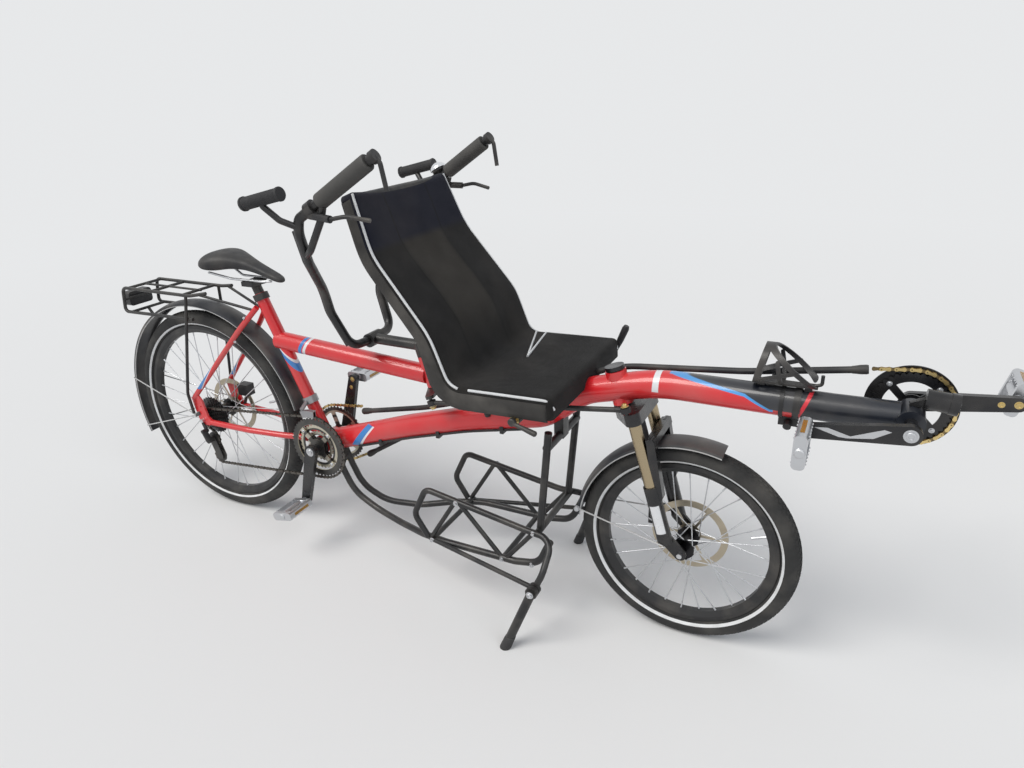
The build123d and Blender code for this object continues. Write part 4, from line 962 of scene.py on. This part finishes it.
def seat_stations():
    """Stations down the seat as (centre, out of the cloth, half width), with both ends wrapped."""
    line = rounded_line(SEAT_LINE, SEAT_BENDS, STATION_STEP)
    (first, first_way), (last, last_way) = line[0], line[-1]
    first_out, last_out = outward(first_way), outward(last_way)
    top_half, front_half = seat_half_width(first.y), seat_half_width(last.y)
    stations = [(first - first_out * drop, -first_way, top_half) for drop in (24.0, 12.0)]
    for turn in WRAP_TURNS:
        out = Matrix.Rotation(radians(-turn), 2) @ first_out
        stations.append((first, out, top_half))
    for spot, way in line:
        stations.append((spot, outward(way), seat_half_width(spot.y)))
    for turn in reversed(WRAP_TURNS):
        out = Matrix.Rotation(radians(turn), 2) @ last_out
        stations.append((last, out, front_half))
    for share in (0.34, 0.67, 1.0):
        stations.append((last - last_out * (APRON_DEPTH * share), last_way, front_half))
    return stations


def cover_point(centre, out, y, rise):
    return (centre.x + out.x * rise, y, centre.y + out.y * rise)


def thicken(piece):
    solid = piece.modifiers.new("thickness", "SOLIDIFY")
    solid.thickness = COVER_THICK / 1000.0
    solid.offset = 0.0


def cover_row(centre, out, half):
    """Points of the cloth across the seat, with the edges wrapped round both rails."""
    def edge(side, turn):
        y = side * (half + COVER_REACH * cos(turn))
        return cover_point(centre, out, y, COVER_REACH * sin(turn))

    dip = TOP_DIP * max(0.0, 1.0 - abs(centre.x - SEAT_LINE[0][0]) / TOP_DIP_REACH)
    row = [edge(-1, turn) for turn in EDGE_TURNS]
    for step in range(ACROSS_STEPS + 1):
        share = 2.0 * step / ACROSS_STEPS - 1.0
        hollow = 1.0 - share * share
        rise = COVER_REACH - COVER_SAG * hollow * sag_share(centre.x)
        spot = Vector(cover_point(centre, out, half * share, rise))
        if out.y >= 0:
            spot.z -= dip * hollow
        row.append(spot)
    return row + [edge(1, turn) for turn in reversed(EDGE_TURNS)]


def make_seat_cover():
    cover = Shape()
    cover.grid([cover_row(*station) for station in seat_stations()])
    sling = cover.piece("seat_cover_mesh", SEAT_MESH, "frame", 60.0)
    thicken(sling)
    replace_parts(sling, "seat_cover")


def make_seat_bands():
    bands = Shape()
    for _, side in SIDES:
        strip = []
        for spot, way in rounded_line(SEAT_LINE, SEAT_BENDS, STATION_STEP):
            share = min(max((BAND_WIDENS_BELOW - spot.y) / BAND_WIDENS_OVER, 0.0), 1.0)
            depth = BACK_BAND_DEPTH + (PAN_BAND_DEPTH - BACK_BAND_DEPTH) * share
            drops = ((-1.0, 0.0), (depth * 0.35, 0.4), (depth * 0.7, 1.2), (depth, 3.5))
            edge = seat_half_width(spot.y) + COVER_REACH
            strip.append([
                cover_point(spot, outward(way), side * (edge - lean), -drop) for drop, lean in drops
            ])
        bands.grid(strip)
    band = bands.piece("seat_cover_bands", SEAT_BAND, "frame", 60.0)
    thicken(band)
    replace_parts(band, "seat_cover")


def surface_height(x):
    """Height of the cloth above the pan at x."""
    heights = []
    for spot, way in rounded_line(SEAT_LINE, SEAT_BENDS, SURFACE_STEP):
        if spot.y < PAN_TOP:
            surface = spot + outward(way) * COVER_REACH
            heights.append((abs(surface.x - x), surface.y))
    return min(heights)[1]


def make_piping():
    """White cord sewn along the upper edges, broken where the back meets the pan."""
    body = rounded_line(SEAT_LINE, SEAT_BENDS, PIPING_STEP)
    top_way = body[0][1]
    lift = COVER_REACH + PIPING_RISE
    for side_name, side in SIDES:
        back, pan = [], []
        for spot, way in body:
            y = side * (seat_half_width(spot.y) + lift * cos(PIPING_TURN))
            sewn = cover_point(spot, outward(way), y, lift * sin(PIPING_TURN))
            if spot.x < BACK_PIPING_END or spot.y > PAN_TOP:
                back.append(sewn)
            elif spot.x > PAN_PIPING_START:
                pan.append(sewn)
        x, y, z = back[0]
        over = top_way * PIPING_OVERHANG
        back.insert(0, (x - over.x, y - side * 1.5, z - over.y))
        x, y, z = pan[-1]
        pan += [(x + 9.0, y - side * 4.0, z - 6.0), (x + 13.0, y - side * 10.0, z - 22.0)]
        hose(f"{side_name}_back_piping", back, PIPING_R, PIPING)
        hose(f"{side_name}_pan_piping", pan, PIPING_R, PIPING)
    for number, start_x in enumerate(NOTCH_STARTS, 1):
        line = []
        for share in (0.0, 0.2, 0.4, 0.6, 0.8, 1.0):
            x = start_x + (NOTCH_TIP[0] - start_x) * share
            y = NOTCH_SIDE + (NOTCH_TIP[1] - NOTCH_SIDE) * share
            line.append((x, y, surface_height(x) + 1.0))
        hose(f"notch_piping_{number}", line, NOTCH_PIPING_R, PIPING)


make_seat_cover()
make_seat_bands()
make_piping()


# Saddle: padded top over a shell
SADDLE_SIDES = 28
SADDLE_STATIONS = [
    # x, half width, top z, bottom z
    (95.0, 30.0, 834.0, 806.0), (99.0, 50.0, 840.0, 803.0), (108.0, 66.0, 847.0, 801.0),
    (124.0, 73.0, 853.0, 800.0), (146.0, 71.0, 855.5, 800.5), (168.0, 60.0, 855.0, 804.0),
    (190.0, 48.5, 850.5, 806.5), (212.0, 38.5, 844.5, 806.0), (236.0, 28.5, 837.0, 804.5),
    (262.0, 23.0, 826.5, 799.0), (290.0, 20.5, 815.0, 792.5), (318.0, 18.5, 804.5, 783.5),
    (338.0, 16.5, 796.5, 777.5), (349.0, 12.0, 790.5, 776.5), (354.0, 6.0, 786.0, 777.5),
]
SADDLE_DROOP = 5.0
SADDLE_SIDE_ROUND = 0.72
SADDLE_TOP_ROUND = 0.8
SADDLE_WIDEST = 73.0


def make_saddle():
    rows = []
    for x, half, top, bottom in SADDLE_STATIONS:
        row = []
        middle = (top + bottom) / 2
        for step in range(SADDLE_SIDES):
            angle = tau * step / SADDLE_SIDES
            sine, cosine = sin(angle), cos(angle)
            y = half * copysign(abs(cosine) ** SADDLE_SIDE_ROUND, cosine)
            z = middle + copysign(abs(sine) ** SADDLE_TOP_ROUND, sine) * (top - middle)
            if sine > 0:
                z -= SADDLE_DROOP * (abs(y) / SADDLE_WIDEST) ** 2
            row.append((x, y, z))
        rows.append(row)
    saddle = Shape()
    saddle.grid(rows, closed_across=True)
    saddle.cap(rows[0])
    saddle.cap(rows[-1])
    piece = saddle.piece("saddle_cover", SADDLE_SKIN, "frame", 70.0)
    piece.modifiers.new("weld", "WELD").merge_threshold = 0.0001
    smooth = piece.modifiers.new("smooth", "SUBSURF")
    smooth.levels = 2
    smooth.render_levels = 2
    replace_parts(piece, "saddle")


make_saddle()


# Grips
BAR_REAR = (679.0, 250.0, 1003.0)
BAR_FRONT = (876.0, 235.0, 1126.0)
FOAM_START = {"left": 0.36, "right": 0.30}
FOAM = [
    (0.0, 12.0), (0.0, 16.6), (0.012, 17.7), (0.03, 18.0),
    (0.97, 18.0), (0.988, 17.6), (1.0, 16.2), (1.0, 12.0),
]
RIBS = 24
RIB_SHARE = 0.86 / RIBS
REAR_GRIP = [(0.0, 6.0), (0.0, 13.0), (0.01, 15.4), (0.05, 15.8), (0.06, 13.4)]
for rib in range(RIBS):
    rib_start = 0.08 + RIB_SHARE * rib
    for part, radius in ((0.0, 13.0), (0.25, 13.9), (0.75, 13.9), (1.0, 13.0)):
        REAR_GRIP.append((rib_start + RIB_SHARE * part, radius))
REAR_GRIP += [(0.95, 13.6), (0.955, 15.2), (0.985, 15.2), (1.0, 14.0), (1.0, 11.2)]


def along_bar(share, side=1):
    """Point on the straight top part of the handlebar."""
    x, y, z = Vector(BAR_REAR).lerp(Vector(BAR_FRONT), share)
    return Vector((x, y * side, z))


def make_grips():
    for side_name, side in SIDES:
        foam_start = along_bar(FOAM_START[side_name], side)
        foam = [(foam_start, along_bar(0.95, side), FOAM, 40)]
        ribbed = [((567.0, side * 290.0, 1036.0), (679.0, side * 291.0, 1061.0), REAR_GRIP, 36)]
        for name, finish, parts in (("foam", GRIP_GREY, foam), ("rear", GRIP_BLACK, ribbed)):
            piece = turned(f"{side_name}_{name}_grip", finish, "handlebar", parts)
            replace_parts(piece, "handlebar_grips")


def make_bell():
    """Domed bell on the left arm."""
    foot = along_bar(0.25) + Vector((-8.0, 3.0, 13.0))
    up = Vector((-0.5, 0.05, 0.86)).normalized()
    dome = [
        (0.0, 20.0), (0.02, 23.0), (0.16, 22.6), (0.4, 20.5), (0.62, 16.6),
        (0.8, 11.6), (0.92, 6.0), (0.98, 2.0), (1.0, 0.4),
    ]
    turned("bell_dome", CHROME, "handlebar", [(foot + up * 5.0, foot + up * 24.0, dome, 40)], 60.0)
    cup = [(0.0, 9.0), (0.3, 12.0), (0.5, 18.0), (1.0, 19.0)]
    knob = [(0.0, 3.5), (0.6, 3.2), (1.0, 1.5)]
    turned("bell_base", GUARD, "handlebar", [
        (foot - up * 6.0, foot + up * 6.0, cup, 28),
        (foot + up * 23.5, foot + up * 26.5, knob, 16),
    ])


# Bolts: a washer, and a round head with a round socket
WASHER_SHARE = 0.22
WASHER = [(0.0, 1.5), (0.8, 1.5), (1.0, 1.35)]
HEAD = [(0.0, 1.0), (0.75, 1.0), (0.94, 0.88), (1.0, 0.6), (0.99, 0.55), (0.6, 0.5)]
BOLT_SIDES = 20


def bolt_parts(place, way, radius, height):
    """Washer and round head that stand out of place along way."""
    place, way = Vector(place), Vector(way).normalized()
    seat, top = place + way * (height * WASHER_SHARE), place + way * height
    washer = [(share, radius * wide) for share, wide in WASHER]
    head = [(share, radius * wide) for share, wide in HEAD]
    return [(place, seat, washer, BOLT_SIDES), (seat, top, head, BOLT_SIDES)]


def make_bolts(name, finish, body, rows):
    """Piece of bolts, each given as (place, way, head radius, height)."""
    turned(name, finish, body, [part for row in rows for part in bolt_parts(*row)])


def aside_bolts(places, radius, height):
    """Like bolts on both sides of the bicycle, at places given as (x, distance aside, z)."""
    return [
        ((x, side * y, z), (0, side, 0), radius, height) for x, y, z in places for _, side in SIDES
    ]


def ring_bolts(axle, radius, y, side):
    """Four bolts of a chainring, facing left for side 1 and right for -1."""
    return [
        (around(axle, radius, radians(angle), y), (0, side, 0), 3.6, 3.0)
        for angle in (45, 135, 225, 315)
    ]


def steer_point(down, forward, y):
    """Point down the fork's steering axis, forward of it and aside."""
    return (
        FORK_TOP[0] + down * STEER_SINE + forward * STEER_COSINE, y,
        FORK_TOP[1] - down * STEER_COSINE + forward * STEER_SINE,
    )


def make_all_bolts():
    up_axis = Vector((-STEER_SINE, 0.0, STEER_COSINE))
    front_eye, rear_eye = steer_point(64.0, 32.0, -75.0), (858.3, -75.0, 524.2)
    make_bolts("tie_rod_front_bolt", BRASS, "fork", [(front_eye, up_axis, 6.0, 7.0)])
    make_bolts("tie_rod_rear_bolt", BRASS, "handlebar", [(rear_eye, -up_axis, 6.0, 7.0)])
    rack = ((844.0, 152.0), (1050.0, 151.0), (1134.0, 160.0), (926.0, 284.0), (1140.0, 252.0))
    rack_places = [(x, 112.5, z) for x, z in rack]
    make_bolts("rack_bolts", SILVER, "frame", aside_bolts(rack_places, 4.5, 6.0))
    for side_name, side in SIDES:
        stand_bolt = ((1176.0, side * 213.0, 156.0), (0, side, 0), 6.0, 6.5)
        make_bolts(f"{side_name}_stand_bolt", SILVER, "frame", [stand_bolt])
    seat_bolts = aside_bolts([(1149.0, 200.0, 596.0)], 7.0, 9.0)
    seat_bolts += aside_bolts([(1149.0, 193.0, 622.0)], 4.5, 6.0)
    make_bolts("seat_bolts", BRASS, "frame", seat_bolts)
    stay_bolts = []
    for _, side in SIDES:
        stay_bolts.append(((217.6, side * 35.4, 671.0), (-0.55, side * 0.55, 0.63), 4.0, 5.0))
        stay_bolts.append(((170.8, side * 44.0, 599.6), (0.7335, 0.0, -0.68), 3.6, 6.0))
    make_bolts("stay_bolts", SILVER, "frame", stay_bolts)
    stoker_ring = ring_bolts(STOKER_AXLE, 60.0, 58.5, 1) + ring_bolts(STOKER_AXLE, 60.0, 48.7, -1)
    make_bolts("stoker_ring_bolts", SILVER, "stoker_crankset", stoker_ring)
    captain_ring = ring_bolts(CAPTAIN_AXLE, 63.0, -55.3, -1)
    make_bolts("captain_ring_bolts", SILVER, "captain_crankset", captain_ring)


# Cranks: bolts, caps and pale marks
CRANK_LENGTH = 175.0
CRANK_OUTER_Y = 87.0
CRANK_INNER_Y = 74.0
SECOND_BOLT_ALONG = 148.0
CAPTAIN_ANGLE = -106.0
STOKER_ANGLE = 187.3
STOKER_MARKS = [
    # pale band folded like a wide V on the arm, as (along, aside) corners
    [(159.0, -9.5), (136.0, -9.5), (98.0, 6.0), (103.0, 10.0), (118.0, 8.0)],
    [(98.0, 6.0), (42.0, -10.0), (30.0, -6.0), (60.0, 8.5), (103.0, 10.0)],
]


def crank_point(axle, angle, along, aside, y):
    """Point on a crank arm: along it from the axle, and to its left seen from the right."""
    turn = radians(angle)
    return (
        axle[0] + along * cos(turn) - aside * sin(turn), y,
        axle[1] + along * sin(turn) + aside * cos(turn),
    )


def make_crank_bolts(rider, axle, angle):
    body = f"{rider}_crankset"
    outer, inner = [], []
    for side, turn in ((-1, 0.0), (1, 180.0)):
        for rows, along, y, way, radius, height in (
            (outer, 0.0, CRANK_OUTER_Y, side, 8.5, 5.0),
            (outer, CRANK_LENGTH, CRANK_OUTER_Y, side, 6.5, 3.0),
            (inner, CRANK_LENGTH, CRANK_INNER_Y, -side, 5.0, 2.0),
            (inner, SECOND_BOLT_ALONG, CRANK_INNER_Y, -side, 4.0, 2.0),
        ):
            place = crank_point(axle, angle + turn, along, 0.0, side * y)
            rows.append((place, (0, way, 0), radius, height))
    make_bolts(f"{rider}_crank_bolts", SILVER, body, outer)
    make_bolts(f"{rider}_crank_inner_bolts", BRASS, body, inner)


def make_stoker_marks():
    marks = Shape()
    for corners in STOKER_MARKS:
        low, high = (
            [crank_point(STOKER_AXLE, STOKER_ANGLE, along, aside, y) for along, aside in corners]
            for y in (0.2 - CRANK_OUTER_Y, -0.5 - CRANK_OUTER_Y)
        )
        marks.block(low, high)
    marks.piece("stoker_crank_marks", MARK, "stoker_crankset")


# Pedals: grip pins and reflectors
PEDALS = [
    # rider, side name, side, axle, angle, roll
    ("captain", "right", -1, CAPTAIN_AXLE, CAPTAIN_ANGLE, 12.0),
    ("captain", "left", 1, CAPTAIN_AXLE, CAPTAIN_ANGLE + 180.0, 0.0),
    ("stoker", "right", -1, STOKER_AXLE, STOKER_ANGLE, 90.0),
    ("stoker", "left", 1, STOKER_AXLE, STOKER_ANGLE + 180.0, 75.0),
]
PEDAL_HALF = 34.0
PEDAL_HALF_THICK = 12.0
PIN_X = (PEDAL_HALF - 4.5) * 0.84
PIN_YS = (104.0, 118.0, 132.0, 146.0, 160.0, 174.0)
PIN_SUNK = 1.0
PIN_RISE = 1.8
PIN_R = 1.7
END_CAP_YS = (184.0, 187.5)
END_CAP = [(0.0, 10.0), (0.5, 9.6), (1.0, 7.0)]
REFLECTOR_SUNK = 3.0
REFLECTOR_RISE = 0.6
REFLECTOR_CORNERS = [
    # y, z
    (112.0, -4.0), (166.0, -4.0), (166.0, 4.0), (112.0, 4.0),
]


def make_pedal_trim(rider, side_name, side, axle, angle, roll):
    tip = crank_point(axle, angle, CRANK_LENGTH, 0.0, 0.0)

    def spot(x, y, z):
        turned_x, _, turned_z = crank_point((tip[0], tip[2]), roll, x, z, 0.0)
        return Vector((turned_x, side * y, turned_z))

    pins = Shape()
    for x in (-PIN_X, PIN_X):
        for y in PIN_YS:
            for face in (1, -1):
                foot = spot(x, y, face * (PEDAL_HALF_THICK - PIN_SUNK))
                pins.rod(foot, spot(x, y, face * (PEDAL_HALF_THICK + PIN_RISE)), PIN_R, 8)
    start, end = (spot(0.0, y, 0.0) for y in END_CAP_YS)
    pins.along(start, end, END_CAP, 24)
    body = f"{rider}_{side_name}_pedal"
    pins.piece(f"{body}_pins", SILVER, body)
    lights = Shape()
    for facing in (1, -1):
        inner, outer = (
            [spot(facing * x, y, z) for y, z in REFLECTOR_CORNERS]
            for x in (PEDAL_HALF - REFLECTOR_SUNK, PEDAL_HALF + REFLECTOR_RISE)
        )
        lights.block(inner, outer)
    lights.piece(f"{body}_reflectors", AMBER, body)


# Lamps
REAR_LENS = [
    # y, height above the middle
    (-36, -18), (-30, -21), (30, -21), (36, -18), (38, 0),
    (36, 18), (30, 21), (-30, 21), (-36, 18), (-38, 0),
]
REAR_LENS_MIDDLE = 682.0


def make_lamps():
    start, way = Vector((1952.0, 0.0, 681.0)), Vector((52.0, 0.0, -5.0)).normalized()
    glass = [(0.0, 18.0), (0.5, 17.6), (0.8, 14.0), (0.93, 8.0), (1.0, 1.0)]
    mirror = [(0.0, 16.2), (1.0, 16.2)]
    turned("front_lamp_lens", LENS, "frame", [(start - way, start + way * 3.2, glass, 48)], 80.0)
    turned("front_lamp_reflector", CHROME, "frame", [
        (start - way * 0.6, start + way * 0.2, mirror, 40),
    ])
    tail = Shape()
    front, back = (
        [(x, y * wide, REAR_LENS_MIDDLE + rise * tall) for y, rise in REAR_LENS]
        for x, wide, tall in ((-285.2, 1.0, 1.0), (-287.6, 0.94, 0.9))
    )
    tail.block(front, back)
    tail.piece("rear_lamp_lens", RED_LENS, "frame")


# Levers at the seat, and the knobs at the front guard's stays
KNOB_RADIUS = 262.0
KNOB_ANGLE = radians(170.0)


def make_levers():
    """Lever and cam levers of the seat, then the guard's knobs."""
    lever = [(0.0, 5.0), (0.2, 6.5), (0.45, 8.5), (0.9, 9.0), (1.0, 6.5)]
    turned("seat_lever", SATIN_BLACK, "frame", [
        ((1229.0, 208.0, 622.0), (1257.0, 210.0, 690.0), lever, 20),
    ])
    cam = [(0.0, 5.0), (0.1, 9.0), (0.85, 9.0), (1.0, 7.0)]
    arm = [(0.0, 5.0), (0.3, 4.6), (0.7, 6.0), (0.95, 6.4), (1.0, 4.0)]
    for side_name, side in SIDES:
        turned(f"{side_name}_seat_release", SATIN_BLACK, "frame", [
            ((1149.0, side * 209.0, 596.0), (1149.0, side * 219.0, 596.0), cam, 24),
            ((1152.0, side * 215.0, 594.0), (1206.0, side * 217.0, 579.0), arm, 16),
        ])
    knob = [(0.0, 4.0), (0.2, 6.4), (0.7, 6.8), (0.9, 5.6), (1.0, 3.0)]
    x, _, z = around(FRONT_AXLE, KNOB_RADIUS, KNOB_ANGLE)
    turned("front_guard_knobs", MARK, "fork", [
        ((x, side * 28.5, z), (x, side * 41.0, z), knob, 20) for _, side in SIDES
    ])


# Stand feet
FOOT_SIDES = 28
FOOT_RINGS = [
    # height, radius
    (0.3, 13.4), (2.0, 14.2), (26.0, 13.6), (32.0, 12.8), (33.0, 11.2),
]


def make_stand_feet():
    top, foot = Vector((1176.0, 201.0, 156.0)), Vector((1117.0, 235.0, 0.0))
    for side_name, side in SIDES:
        rows = []
        for height, radius in FOOT_RINGS:
            centre = foot.lerp(top, height / top.z)
            ring = [around(centre, radius, tau * step / FOOT_SIDES) for step in range(FOOT_SIDES)]
            rows.append([(x, side * y, height) for x, _, y in ring])
        cover = Shape()
        cover.grid(rows, closed_across=True)
        cover.cap(rows[0])
        cover.piece(f"{side_name}_stand_foot", GRIP_BLACK, f"{side_name}_stand_leg")


make_grips()
make_bell()
make_all_bolts()
make_crank_bolts("captain", CAPTAIN_AXLE, CAPTAIN_ANGLE)
make_crank_bolts("stoker", STOKER_AXLE, STOKER_ANGLE)
make_stoker_marks()
for pedal in PEDALS:
    make_pedal_trim(*pedal)
make_lamps()
make_levers()
make_stand_feet()


# Camera, light and floor
FADE_START = 2.2
FADE_END = 6.0
FLOOR_REACH = 30.0
FLOOR_SIDES = 64
SUN_SPREAD = radians(34.0)
SKY_LIGHT = (0.90, 0.94, 1.0)
SKY_STRENGTH = 0.45


def make_camera():
    data = bpy.data.cameras.new("camera")
    data.sensor_width = SENSOR_WIDTH
    data.lens = FOCAL_SHARE * SENSOR_WIDTH
    camera = put("camera", data)
    heading = Matrix.Rotation(CAMERA_AZIMUTH, 4, "Z")
    tilt = Matrix.Rotation(pi / 2 - CAMERA_DOWN, 4, "X")
    roll = Matrix.Rotation(CAMERA_ROLL, 4, "Z")
    camera.matrix_world = Matrix.Translation(at(*CAMERA_PLACE)) @ heading @ tilt @ roll
    bpy.context.scene.camera = camera


def make_sun(name, place, strength, color):
    """Wide, soft sun shining from place towards the bicycle."""
    data = bpy.data.lights.new(name, "SUN")
    data.energy = strength
    data.angle = SUN_SPREAD
    data.color = color
    lamp = put(name, data)
    lamp.matrix_world = (-Vector(place)).to_track_quat("-Z", "Y").to_matrix().to_4x4()


def make_floor():
    """Pale floor that takes on the backdrop's colour far from the bicycle."""
    mesh = bpy.data.meshes.new("floor")
    turns = [tau * step / FLOOR_SIDES for step in range(FLOOR_SIDES)]
    rim = [(FLOOR_REACH * cos(turn), FLOOR_REACH * sin(turn), 0.0) for turn in turns]
    mesh.from_pydata(rim, [], [tuple(range(FLOOR_SIDES))])
    floor = put("floor", mesh)
    surface = Paint("floor_paper", (0.80, 0.80, 0.80), 0.0, 0.9)
    surface.set("Specular IOR Level", 0.1)
    surface.ripple(60.0, 3.0, 0.03, 0.001)
    away = surface.node("ShaderNodeVectorMath", operation="LENGTH")
    surface.feed(away.inputs[0], surface.place)
    far = surface.spread(away.outputs["Value"], FADE_START, FADE_END)
    glow = surface.node("ShaderNodeEmission")
    surface.feed(glow.inputs["Color"], rgba(BACKDROP))
    share = surface.both(far, surface.backdrop_rays())
    surface.show(share, surface.shader.outputs[0], glow.outputs[0], "Material Output")
    floor.data.materials.append(surface.done())


def make_world():
    """Even soft light, with the pale backdrop where it is seen directly."""
    world = bpy.data.worlds.new("studio")
    world.use_nodes = True
    light = Nodes(world.node_tree)
    soft, seen = world.node_tree.nodes["Background"], light.node("ShaderNodeBackground")
    for node, color, strength in ((soft, SKY_LIGHT, SKY_STRENGTH), (seen, BACKDROP, 1.0)):
        light.feed(node.inputs["Color"], rgba(color))
        light.feed(node.inputs["Strength"], strength)
    light.show(light.backdrop_rays(), soft.outputs[0], seen.outputs[0], "World Output")
    bpy.context.scene.world = world


make_camera()
make_world()
make_floor()
make_sun("key", (-1.6, -2.4, 3.6), 1.9, (1.0, 0.975, 0.93))
make_sun("fill", (2.6, -1.2, 2.4), 0.5, (0.94, 0.97, 1.0))
bpy.context.scene.view_settings.view_transform = "Standard"
